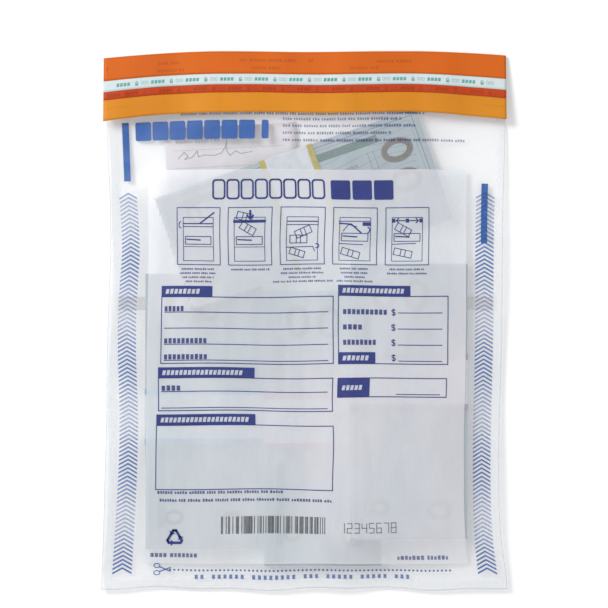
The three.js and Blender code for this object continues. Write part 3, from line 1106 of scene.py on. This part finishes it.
panel_print = navy.laid("panel_print", on_front(INK_LIFT), navy_ink)
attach(panel_print, "bag")
light_ink = ink_material("light_ink", "E6EAF4")
tab_labels = tab_marks.laid("tab_labels", on_front(INK_LIFT + 0.2 * MM), light_ink)
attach(tab_labels, "bag")
print("panel print:", len(panel_print.data.polygons), "faces")

# %% [markdown]
# ## Bar code and number
#
# The code is a row of bars made by the row tree. Some are left out at random, which leaves the white gaps,
# and the others shift a little, so that no two gaps are quite alike. The number beside it is a plain
# counting row in the seven-stroke style of a numbering head.

# %% Bars and number
grey = InkLayer()
bar = [(0, 0, 0), (0.42, 0, 0), (0.42, 9.8, 0), (0, 9.8, 0)]
points, faces = row_of_copies(
    bar, [[0, 1, 2, 3]], grey_ink, 96, (0.645, 0, 0), slide=(0.12, 0, 0), left_out=0.34, seed=5
)
for face in faces:
    grey.add(points[face][:, :2] + (-48.2, -121.2), [[0, 1, 2, 3]])
SEGMENTS = {"1": "bc", "2": "abged", "3": "abgcd", "4": "fgbc"}
SEGMENTS.update({"5": "afgcd", "6": "afgedc", "7": "abc", "8": "abcdefg"})


def numeral(layer, digit, x, y, width=2.7, height=5.4):
    ends = {
        "a": ((0, 1), (1, 1)), "b": ((1, 1), (1, 0.5)), "c": ((1, 0.5), (1, 0)), "d": ((0, 0), (1, 0)),
        "e": ((0, 0.5), (0, 0)), "f": ((0, 1), (0, 0.5)), "g": ((0, 0.5), (1, 0.5)),
    }
    for segment in SEGMENTS[digit]:
        path = [(x + a * width, y + b * height) for a, b in ends[segment]]
        layer.stroke(path, 0.5, 0.62)


for place, digit in enumerate("12345678"):
    numeral(grey, digit, 19.8 + place * 4.25, -120.0)
code_print = grey.laid("code_print", on_front(INK_LIFT), grey_ink)
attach(code_print, "bag")
print("code bars:", len(faces))

# %% [markdown]
# ## Paper
#
# Note paper, strap paper and cheque paper share one recipe: a pale colour with fibres, a matt face and a
# fine bump. Each paper gets its own two tones. The fibres are the cloudy grain, which is drawn out
# lengthwise on note paper.

# %% Paper materials
def paper_material(name, dark, light, fibre=(1, 1, 1), scale=240, roughness=0.8):
    material, shader = plain_material(name, linear(light), roughness)
    tree = material.node_tree
    two_tone(tree, shader, grain(tree, scale, 0, 1, fibre), dark, light)
    uneven_gloss(tree, shader)
    add_bump(tree, shader, grain(tree, 900, 0, 1), 0.05 * MM, 0.6)
    return material


note_paper = paper_material("note_paper", "A3B1B9", "B9C5CB", (1, 0.4, 1), 60)
note_edges = paper_material("note_edges", "AEB9BB", "CBD3D3", (1, 1, 1), 150)
strap_white = paper_material("strap_white", "CDD1D8", "DEE1E6")
mustard_edge = paper_material("mustard_edge", "AC9C12", "C2B22A")
blue_edge = paper_material("blue_edge", "7FA3C4", "93B6D4")
mauve_edge = paper_material("mauve_edge", "A08BA8", "B39DB8")
red_edge = paper_material("red_edge", "B27F88", "C4929A")
cheque_paper = paper_material("cheque_paper", "E2DDE2", "EDE8EC", (1, 1, 1), 90)
note_green = ink_material("note_green", "4E8378", cover=0.75)
note_dark = ink_material("note_dark", "39464E", cover=0.7)
note_tan = ink_material("note_tan", "8E7F6C", cover=0.75)

# %% [markdown]
# ## Bundles of notes
#
# A bundle isn't a block: it is a pile of thin leaves that never line up quite right. The row tree stacks
# one leaf, and slides and turns each copy a fraction at random. The top leaf lies square on top with its
# print. Everything is made flat in the bundle's own axes and then set in place by those axes.

# %% From a bundle's axes to the scene
def bundle_place(name):
    """A function from local points in metres (along, across, up from the middle) to the scene."""
    middle, long, wide, thick = bundle_axes[name]
    turn = np.array([long.normalized(), wide.normalized(), thick.normalized()])
    return lambda local: np.asarray(local) @ turn + np.array(middle)


def leaf_shape(half_long, half_wide, cells=12):
    """A leaf with a very slight wave, long along x."""
    points, faces = [], []
    for i in range(cells + 1):
        x = -half_long + 2 * half_long * i / cells
        wave = 0.04 * MM * math.sin(i / cells * math.pi * 3)
        points += [(x, -half_wide, wave), (x, 0, wave), (x, half_wide, wave)]
    for i in range(cells):
        a = 3 * i
        faces += [[a, a + 3, a + 4, a + 1], [a + 1, a + 4, a + 5, a + 2]]
    return points, faces


# %% Pile of leaves for each bundle
LEAVES = 18
LEAF_THICKNESS = 0.12 * MM
TOP_ROOM = 0.26 * MM  # left free above and below the pile for the outer leaves
for order, name in enumerate(BUNDLES):
    middle, long, wide, thick = bundle_axes[name]
    leaf_points, leaf_faces = leaf_shape(long.length - 0.5 * MM, wide.length - 0.5 * MM)
    pile_half = thick.length - TOP_ROOM
    pitch = 2 * pile_half / (LEAVES - 1)
    points, faces = row_of_copies(
        leaf_points, leaf_faces, note_edges, LEAVES, (0, 0, pitch),
        slide=(0.45 * MM, 0.4 * MM, 0), turn=0.0035, seed=11 + order,
    )
    points[:, 2] -= pile_half
    pile = new_piece(f"{name}_leaves", bundle_place(name)(points), faces, note_edges)
    thicken(pile, "paper thickness", LEAF_THICKNESS, offset=0)
    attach(pile, "bag")
    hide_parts(f"{name}_bundle")
print("leaves in each bundle:", LEAVES)


# %% [markdown]
# ## The face of a note
#
# The notes are of no country: a double border, a field of fine waves, a plain medallion, a banner and large
# ovals in the corners. One function draws it in the note's own millimetres, and it is laid on both outer
# leaves of every bundle.

# %% Draw the note's face
def note_face(green, dark, tan):
    """Fill three ink layers with a generic note, 156 by 66 mm, middle at the origin."""
    dark.frame(-74.6, 74.6, -30.2, 30.2, 0.45, 0.6)
    dark.frame(-72.4, 72.4, -28.2, 28.2, 0.25, 0.5)
    for row in range(13):
        y = -25.4 + row * 4.2
        path = [(x, y + 1.3 * math.sin(x / 7.5 + row * 0.8)) for x in np.linspace(-70, 70, 48)]
        green.stroke(path, 0.35, 0.32)
    green.block(16.0, 52.0, 21.8, 26.4, 0.8)
    green.block(-66.0, -20.0, 21.8, 26.4, 0.6)
    for ring in range(5):
        green.arc(-2.0, -1.0, 21 - ring * 1.5, 24 - ring * 1.5, 0.4, strength=0.6 - ring * 0.07, sides=36)
    dark.arc(-2.0, -1.0, 12.5, 16.0, 0.5, strength=0.5, sides=32)
    ovals = [(60.6, 14.2, 9.0, 6.6), (60.0, -3.6, 9.0, 6.6)]
    ovals += [(-62.0, -17.0, 5.4, 7.0), (-60.0, 17.0, 4.2, 5.4)]
    for x, y, rx, ry in ovals:
        ring = min(rx, ry) * 0.46
        tan.arc(x, y, rx - ring / 2, ry - ring / 2, ring, strength=0.85, sides=30)
        dark.arc(x, y, rx + 0.3, ry + 0.3, 0.3, strength=0.6, sides=30)
        dark.arc(x, y, rx - ring, ry - ring, 0.3, strength=0.6, sides=30)
    for x in (44.0, 47.4):
        dark.stroke([(x, -27), (x, 18)], 0.4, 0.45)
    for x, y in ((-44.0, 10.0), (28.0, 12.0)):
        word_blocks(dark, x - 9, x + 9, y, 1.7, 0.5)
        word_blocks(dark, x - 7, x + 7, y - 3.4, 1.2, 0.4)
    green.arc(32.0, -6.0, 8.0, 8.0, 1.2, strength=0.5, sides=28)
    for spoke in range(16):
        angle = math.radians(spoke * 22.5)
        path = [(32 + reach * math.cos(angle), -6 + reach * math.sin(angle)) for reach in (3, 7)]
        green.stroke(path, 0.5, 0.5)


# %% Outer leaves of each bundle, with their print
def outer_place(name, side, lift):
    """Set local x and y down on a bundle's upper (side 1) or lower (side -1) leaf."""
    place = bundle_place(name)
    up = side * (bundle_axes[name][3].length + lift)
    return lambda x, y: place(np.stack([x, side * y, np.full_like(x, up)], axis=-1))


for name in BUNDLES:
    middle, long, wide, thick = bundle_axes[name]
    u, v = np.meshgrid(np.linspace(-long.length, long.length, 40), np.linspace(-wide.length, wide.length, 18))
    for side, label in ((1, "top"), (-1, "bottom")):
        outer_leaf = grid_piece(
            f"{name}_{label}_leaf",
            outer_place(name, side, 0)(u.ravel(), v.ravel()).reshape(*u.shape, 3),
            note_paper,
        )
        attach(outer_leaf, "bag")
        layers = {"green": InkLayer(), "dark": InkLayer(), "tan": InkLayer()}
        note_face(*layers.values())
        for (tone, layer), ink in zip(layers.items(), (note_green, note_dark, note_tan)):
            printed = layer.laid(f"{name}_{label}_{tone}", outer_place(name, side, 0.05 * MM), ink)
            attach(printed, "bag")
print("printed leaves:", 2 * len(BUNDLES))

# %% [markdown]
# ## Paper straps
#
# A strap is a paper band glued round the bundle: flat on both faces, tight round the long edges. Its
# section is a rounded loop swept along the bundle, and the two outer columns of faces take the coloured
# edge of the band.

# %% Straps
STRAP_EDGE = 3.4 * MM
EDGE_TONES = {"left": blue_edge, "middle": red_edge, "right": mauve_edge, "tilted": mustard_edge}


def strap_loop(half_wide, half_thick, turns=5):
    """Points round the section, with rounded corners, starting at the top."""
    corner = min(half_thick, 0.8 * MM)
    loop = []
    corners = [(half_wide, half_thick, 90), (half_wide, -half_thick, 0)]
    corners += [(-half_wide, -half_thick, -90), (-half_wide, half_thick, -180)]
    for y, z, first in corners:
        cy, cz = y - math.copysign(corner, y), z - math.copysign(corner, z)
        for step in range(turns + 1):
            angle = math.radians(first - 90 * step / turns)
            loop.append((cy + corner * math.cos(angle), cz + corner * math.sin(angle)))
    return loop


for name in BUNDLES:
    low, high = strap_reach[name]
    loop = strap_loop(high[1], high[2])
    stations = [low[0], low[0] + STRAP_EDGE, (low[0] + high[0]) / 2, high[0] - STRAP_EDGE, high[0]]
    points, faces, paints = [], [], []
    for x in stations:
        points += [(x, y, z) for y, z in loop]
    for i in range(len(stations) - 1):
        for j in range(len(loop)):
            k = (j + 1) % len(loop)
            a, b = i * len(loop), (i + 1) * len(loop)
            faces.append([a + j, a + k, b + k, b + j])
            paints.append(1 if i in (0, 3) else 0)
    strap = new_piece(f"{name}_band", bundle_place(name)(points), faces, strap_white)
    strap.data.materials.append(EDGE_TONES[name])
    strap.data.polygons.foreach_set("material_index", paints)
    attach(strap, "bag")
    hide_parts(f"{name}_strap")
    print(name, "strap, mm wide:", round((high[0] - low[0]) / MM, 2))

# %% [markdown]
# ## The folded cheque
#
# A cheque slip folded once lies behind the tilted bundle. Its two leaves are joined by a small round fold
# on one side, so its section is a long narrow U swept along the fold. A few ruled lines and a pen stroke
# are laid on the upper leaf.

# %% Cheque
cheque_low, cheque_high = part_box("folded_cheque")
CHEQUE_WIDE, CHEQUE_DEEP, CHEQUE_TURN = 76.2 * MM, 69.9 * MM, math.radians(3)
OPEN_EDGE = 0.35 * MM  # how far the upper leaf springs up at its free edge
cheque_middle = (cheque_low + cheque_high) / 2
cheque_thick = cheque_high.z - cheque_low.z


def cheque_section(cells=14, turns=6):
    """Across and up of the folded slip's section: lower leaf, fold on the left, upper leaf."""
    half, rise = CHEQUE_WIDE / 2, cheque_thick / 2
    lower = [(half - 2 * half * i / cells * 0.985, -rise) for i in range(cells + 1)]
    upper = [(x, rise + OPEN_EDGE * (0.5 + 0.5 * x / half) ** 2) for x, _ in reversed(lower)]
    fold = []
    for step in range(1, turns):
        angle = math.radians(-90 - 180 * step / turns)
        fold.append((-half * 0.97 + rise * 1.2 * math.cos(angle), rise * math.sin(angle)))
    return lower + fold + upper


section = cheque_section()
ahead = Vector((math.cos(CHEQUE_TURN), math.sin(CHEQUE_TURN), 0))
aside = Vector((-ahead.y, ahead.x, 0))
lines = []
for y in np.linspace(-CHEQUE_DEEP / 2, CHEQUE_DEEP / 2, 10):
    lines.append([cheque_middle + ahead * x + aside * y + Vector((0, 0, z)) for x, z in section])
cheque = grid_piece("cheque_slip", np.array([[tuple(p) for p in line] for line in lines]), cheque_paper)
thicken(cheque, "paper thickness", 0.1 * MM)
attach(cheque, "bag")
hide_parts("folded_cheque")

slip = InkLayer()
for y in (22.0, 12.0, 2.0, -8.0):
    slip.stroke([(-32, y), (30, y)], 0.3, 0.35)
word_blocks(slip, -31, -6, 26.0, 1.8, 0.35)
word_blocks(slip, -31, 4, -18.0, 1.4, 0.3)
pen = [(-30, 17.6), (-26.6, 21.0), (-24.5, 18.7), (-26.6, 17.0), (-22.4, 17.8), (-19.1, 21.3), (-18.6, 18.1)]
pen += [(-14.9, 19.0), (-9.8, 18.4), (-5.6, 19.5), (-3.1, 22.7), (-1.9, 28.0), (-2.4, 20.7), (-0.6, 17.9)]
pen += [(2.8, 20.5), (5.3, 18.7), (12.0, 19.6)]
slip.stroke(pen, 0.45, 0.75)


def on_cheque(x, y):
    """Points of the upper leaf's face from local x and y in metres."""
    top = cheque_middle.z + cheque_thick / 2 + 0.45 * MM
    scene_x = cheque_middle.x + x * ahead.x + y * aside.x
    scene_y = cheque_middle.y + x * ahead.y + y * aside.y
    return np.stack([scene_x, scene_y, np.full_like(x, top)], axis=-1)


cheque_print = slip.laid("cheque_writing", on_cheque, note_dark)
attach(cheque_print, "bag")
print("cheque, mm:", CHEQUE_WIDE / MM, "by", CHEQUE_DEEP / MM)

# %% [markdown]
# ## Side and bottom welds
#
# Where the plies are melted together the film is stiffer, a little thicker and very slightly uneven from
# the heated bar. A strip of weld follows the drawn-in outline, with a ripple of a few hundredths of a
# millimetre. The cut edge of the film catches the light as a thin line, so a narrow bead runs along both
# sides and the foot.

# %% Weld strips
WELD_RISE = 0.12 * MM
WELD_RIPPLE = 0.03 * MM


def weld_strip(name, node, material):
    low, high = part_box(node)
    u, v = flat_grid((low.x, high.x), (low.y, high.y), 1.5 * MM)
    x, y = pulled(u, v)
    top = np.full_like(u, high.z + WELD_RISE) + WELD_RIPPLE * np.sin(v / MM * 0.7) * np.sin(u / MM * 0.9)
    strip = grid_piece(name, np.stack([x, y, top + edge_lift(u, v)], axis=-1), material)
    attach(strip, "bag")
    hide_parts(node)


WELDS = ("left_weld", "right_weld", "bottom_weld")
for node in WELDS:
    weld_strip(f"{node}_film", node, weld_film)
print("weld strips:", len(WELDS))

# %% Edge bead
EDGE_BEAD = 0.4 * MM


def bead(name, outline_u, outline_v, level, material):
    """A thin square bead along points of the flat bag."""
    x, y = pulled(np.array(outline_u), np.array(outline_v))
    level = level + edge_lift(outline_u, outline_v)
    ring = []
    for du, dz in ((-1, -1), (1, -1), (1, 1), (-1, 1), (-1, -1)):
        scale = 1 + du * EDGE_BEAD / 2 / HALF_WIDTH
        ring.append(np.stack([x * scale, y * scale, level + dz * EDGE_BEAD / 2], axis=-1))
    piece = grid_piece(name, np.stack(ring, axis=0), material)
    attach(piece, "bag")


SIDE_POINTS, FOOT_POINTS = 90, 70
side_v = np.linspace(FOLD_Y - 1 * MM, FOOT_Y, SIDE_POINTS)
foot_u = np.linspace(-HALF_WIDTH, HALF_WIDTH, FOOT_POINTS)
left_u = np.full(SIDE_POINTS, -HALF_WIDTH)
right_u = np.full(SIDE_POINTS - 1, HALF_WIDTH)
edge_u = np.concatenate([left_u, foot_u[1:], right_u])
edge_v = np.concatenate([side_v, np.full(FOOT_POINTS - 1, FOOT_Y), side_v[::-1][1:]])
cut_edge = film_material("cut_edge", 0.4, 0.3, "D0D4DA", crinkled=0.1)
bead("cut_edge_bead", edge_u, edge_v, 0.65 * MM, cut_edge)
print("bead points:", len(edge_u))

# %% [markdown]
# ## The closure flap
#
# The flap folds over the mouth and lies on the front. It's film too, but four coloured strips cover it: a
# dark orange head, a white indicator strip, a red one that shows a void when it is pulled, and a broad
# light orange sealing tape. The flap's solid gives the plane that they lie in. The tape ripples a little
# across the bag.

# %% The flap's own plane
flap_middle, _, flap_deep, flap_thick = turned_box("closure_flap")
FLAP_DEPTH = 2 * flap_deep.length
toward_fold = flap_deep.normalized()
flap_up = flap_thick.normalized()
flap_root = flap_middle + flap_deep


def on_flap(across, depth, lift):
    """Points of the flap from the place across, the depth below the fold and the lift, in metres."""
    across, depth = np.asarray(across, float), np.asarray(depth, float)
    share = np.clip(depth / FLAP_DEPTH, 0, 1)
    out_left = np.clip((-across / MM - 48) / 66, 0, 1.1) ** 1.6
    out_right = np.clip((across / MM - 62) / 52, 0, 1.1) ** 1.6
    dip = MM * (out_left * (4.0 + 1.2 * share) + out_right * (2.4 + 1.9 * share) + 0.6 * share)
    dip += MM * (0.5 * bump(across / MM, 2, 26) + 0.25 * share * np.sin(across / MM / 11))
    ripple = MM * (0.35 * np.sin(across / MM / 9.5) + 0.2 * np.sin(across / MM / 4.3 + 2)) * share
    up = flap_thick.length + lift + ripple
    root, down, out = np.array(flap_root), np.array(toward_fold), np.array(flap_up)
    points = np.array([root - down * d + out * h for d, h in zip(depth.ravel(), up.ravel())])
    points[:, 0] = across.ravel()
    points[:, 1] -= dip.ravel()
    return points.reshape(*across.shape, 3)


def flap_range(node):
    """How deep below the fold a strip starts and ends."""
    points = np.array([v.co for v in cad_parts[node].data.vertices]) - np.array(flap_root)
    depth = -points @ np.array(toward_fold)
    return depth.min(), depth.max()


# %% Strip materials
def strip_material(name, dark, light, roughness, hatch=0.0, see_through=1.0):
    material, shader = plain_material(name, linear(light), roughness)
    tree = material.node_tree
    shader.inputs["Specular IOR Level"].default_value = 0.2
    uneven_gloss(tree, shader)
    streaks = grain(tree, 30, 0, 1, (1, 0.25, 1))
    two_tone(tree, shader, streaks, dark, light)
    fine = grain(tree, 350, 0, 1, (6, 0.15, 1)) if hatch else grain(tree, 300, 0, 1)
    add_bump(tree, shader, fine, 0.06 * MM, 0.5)
    if see_through < 1:
        tree.links.new(grain(tree, 50, see_through - 0.05, see_through + 0.03), shader.inputs["Alpha"])
    return material


dark_orange = strip_material("dark_orange_film", "C85C12", "D8681A", 0.5)
indicator_white = strip_material("indicator_white", "C6D2D4", "D6E0E1", 0.5)
void_red = strip_material("void_red", "B43C10", "C4481A", 0.5)
light_orange = strip_material("light_orange_tape", "D6841A", "E39322", 0.45, hatch=1.0, see_through=0.88)

# %% Flap film and its strips
flap_u, flap_d = flat_grid((-HALF_WIDTH, HALF_WIDTH), (0.1 * MM, FLAP_DEPTH), 2 * MM)
flap_sheet = grid_piece("flap_film", on_flap(flap_u, flap_d, 0), inner_film)
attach(flap_sheet, "closure")
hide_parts("closure_flap")
STRIPS = {
    "header_strip": dark_orange,
    "indicator_strip": indicator_white,
    "void_strip": void_red,
    "sealing_tape": light_orange,
}
STRIP_LIFT = 0.2 * MM
STRIP_THICKNESS = 0.1 * MM
for node, material in STRIPS.items():
    start, end = flap_range(node)
    u, d = flat_grid((-HALF_WIDTH, HALF_WIDTH), (start - 0.12 * MM, end + 0.12 * MM), 1.6 * MM)
    strip = grid_piece(f"{node}_band", on_flap(u, d, STRIP_LIFT), material)
    thicken(strip, "film thickness", STRIP_THICKNESS)
    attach(strip, "closure")
    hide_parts(node)
    print(node, "mm deep:", round((end - start) / MM, 1))

# %% [markdown]
# ## Marks on the strips
#
# The white strip repeats one small group in teal: a word-like mark, a padlock and three faint rings. The
# red strip shows the same rhythm as a darker ghost. One function draws the group, and it is set down at a
# constant pitch. The dark orange head and the ends of the tape carry a few faint word-like rows.

# %% Repeated marks
MARK_PITCH = 19.6
MARK_LENGTH = 17


def small_padlock(layer, x, y, strength):
    layer.block(x - 0.9, x + 0.9, y - 1.3, y + 0.1, strength)
    layer.arc(x, y + 0.1, 0.65, 0.9, 0.35, 0, 180, strength, sides=8)


def mark_group(layer, x, y, height, strength):
    """One repeat of the strip's pattern, starting at x."""
    for index in range(4):
        left = x + index * 2.0
        layer.block(left, left + 1.55, y - height / 2, y + height / 2, strength, slant=0.25)
    small_padlock(layer, x + 11.6, y, strength * 0.8)
    for index in range(3):
        layer.arc(x + 14.6 + index * 1.5, y, 0.6, 0.9, 0.35, strength=strength * 0.35, sides=8)


def flap_print(name, layer, material):
    """Ink whose y is the depth below the fold, laid on the strips."""

    def place(x, y):
        return on_flap(x, -y, STRIP_LIFT + 0.15 * MM)

    printed = layer.laid(name, place, material)
    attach(printed, "closure")


white_marks, ghost_marks = InkLayer(), InkLayer()
white_middle = -sum(flap_range("indicator_strip")) / 2 / MM
void_middle = -sum(flap_range("void_strip")) / 2 / MM
mark_starts = [-107.0 + repeat * MARK_PITCH for repeat in range(12)]
mark_starts = [x for x in mark_starts if x + MARK_LENGTH < HALF_WIDTH / MM]
for x in mark_starts:
    mark_group(white_marks, x, white_middle, 1.9, 0.85)
    mark_group(ghost_marks, x + 4.5, void_middle, 1.9, 0.5)
mark_group(ghost_marks, -112.5, void_middle, 1.9, 0.5)
header_start, header_end = (depth / MM for depth in flap_range("header_strip"))
header_words = [(-83.5, -70, 0.5), (-84, -67, 0.84), (-37, -4, 0.44), (-30, -13, 0.8), (2, 6, 0.44)]
header_words += [(26, 42, 0.8), (41, 61, 0.5), (-113, -110, 0.56)]
for x0, x1, share in header_words:
    word_blocks(ghost_marks, x0, x1, -(header_start + (header_end - header_start) * share), 1.8, 0.34)
flap_print("indicator_marks", white_marks, teal_ink)
flap_print("void_marks", ghost_marks, ghost_ink)
tape_start, tape_end = (depth / MM for depth in flap_range("sealing_tape"))
end_marks = InkLayer()
for x0, x1 in ((-113.2, -101.0), (101.0, 113.2)):
    y = -(tape_start + (tape_end - tape_start) * 0.42)
    for index in range(9):
        x = x0 + (x1 - x0) * index / 9
        end_marks.block(x, x + 0.95, y, y + 0.32, 0.55)
flap_print("tape_end_marks", end_marks, ghost_ink)
print("mark groups:", len(mark_starts))

# %% [markdown]
# ## The fold over the mouth
#
# The film isn't cut at the mouth: it turns over and becomes the flap. On the bag that turn bends when the
# flap opens. Here it is a fixed strip of its own: a half-round from the top of the front to the flap's root,
# which follows the flap's dip across the bag.

# %% Fold strip
def turn_over(name, start, end, across, rows_of_arc, material):
    """A half-round strip of film from start to end, both (y, z), that bulges towards plus y."""
    middle_y, middle_z = (start[0] + end[0]) / 2, (start[1] + end[1]) / 2
    half = math.hypot(end[0] - start[0], end[1] - start[1]) / 2
    base = math.atan2(start[1] - middle_z, start[0] - middle_y)
    lines = []
    for step in range(rows_of_arc + 1):
        angle = base + math.pi * step / rows_of_arc
        y = middle_y + half * math.cos(angle)
        z = middle_z + half * math.sin(angle)
        lines.append(np.stack([across, y + 0 * across, z + 0 * across], axis=-1))
    return grid_piece(name, np.array(lines), material)


fold_across = np.linspace(-HALF_WIDTH, HALF_WIDTH, 120)
fold_start = (FOLD_Y, EDGE_Z)
fold_end = (flap_root.y, flap_root.z + flap_thick.length + STRIP_LIFT)
fold = turn_over("mouth_fold", fold_start, fold_end, fold_across, 8, dark_orange)
top_line = on_flap(fold_across, np.zeros_like(fold_across), 0)
fold_drop = flap_root.y - top_line[:, 1]
for index, vertex in enumerate(fold.data.vertices):
    vertex.co.y -= fold_drop[index % len(fold_across)]
fold.data.update()
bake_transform(fold)
print("fold height, mm:", round((fold_end[1] - fold_start[1]) / MM, 2))

# %% [markdown]
# ## The rear pocket's lip
#
# Half-way up the back, the rear pocket closes with a lip of its own and a beige adhesive strip. It shows
# through the clear margins as a faint band. It opens backwards about its crease.

# %% Rear lip, its strip and its crease
rear_beige = strip_material("rear_beige", "DCD5CE", "EAE5E0", 0.5, see_through=0.24)
lip_low, lip_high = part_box("rear_lip")
beige_low, beige_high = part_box("rear_strip")


def rear_sheet(name, low, high, z, material):
    u, v = flat_grid((low.x, high.x), (low.y, high.y), 2 * MM)
    x, y = pulled(u, v)
    return grid_piece(name, np.stack([x, y, z + edge_lift(u, v)], axis=-1), material)


lip = rear_sheet("rear_lip_film", lip_low, lip_high, (lip_low.z + lip_high.z) / 2, inner_film)
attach(lip, "rear_closure")
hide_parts("rear_lip")
beige = rear_sheet("rear_strip_band", beige_low, beige_high, (beige_low.z + beige_high.z) / 2, rear_beige)
thicken(beige, "film thickness", STRIP_THICKNESS)
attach(beige, "rear_closure")
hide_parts("rear_strip")
crease_u, crease_v = flat_grid((-HALF_WIDTH, HALF_WIDTH), (rear_high.y, lip_low.y), 0.25 * MM)
crease_x, crease_y = pulled(crease_u, crease_v)
crease_z = 0.05 * MM + edge_lift(crease_u, crease_v)
crease = grid_piece("rear_crease", np.stack([crease_x, crease_y, crease_z], axis=-1), inner_film)
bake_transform(crease)
print("rear lip, mm deep:", round((lip_high.y - lip_low.y) / MM, 1))

# %% Sheets of film and paper
print("sheets of film and paper are built above")
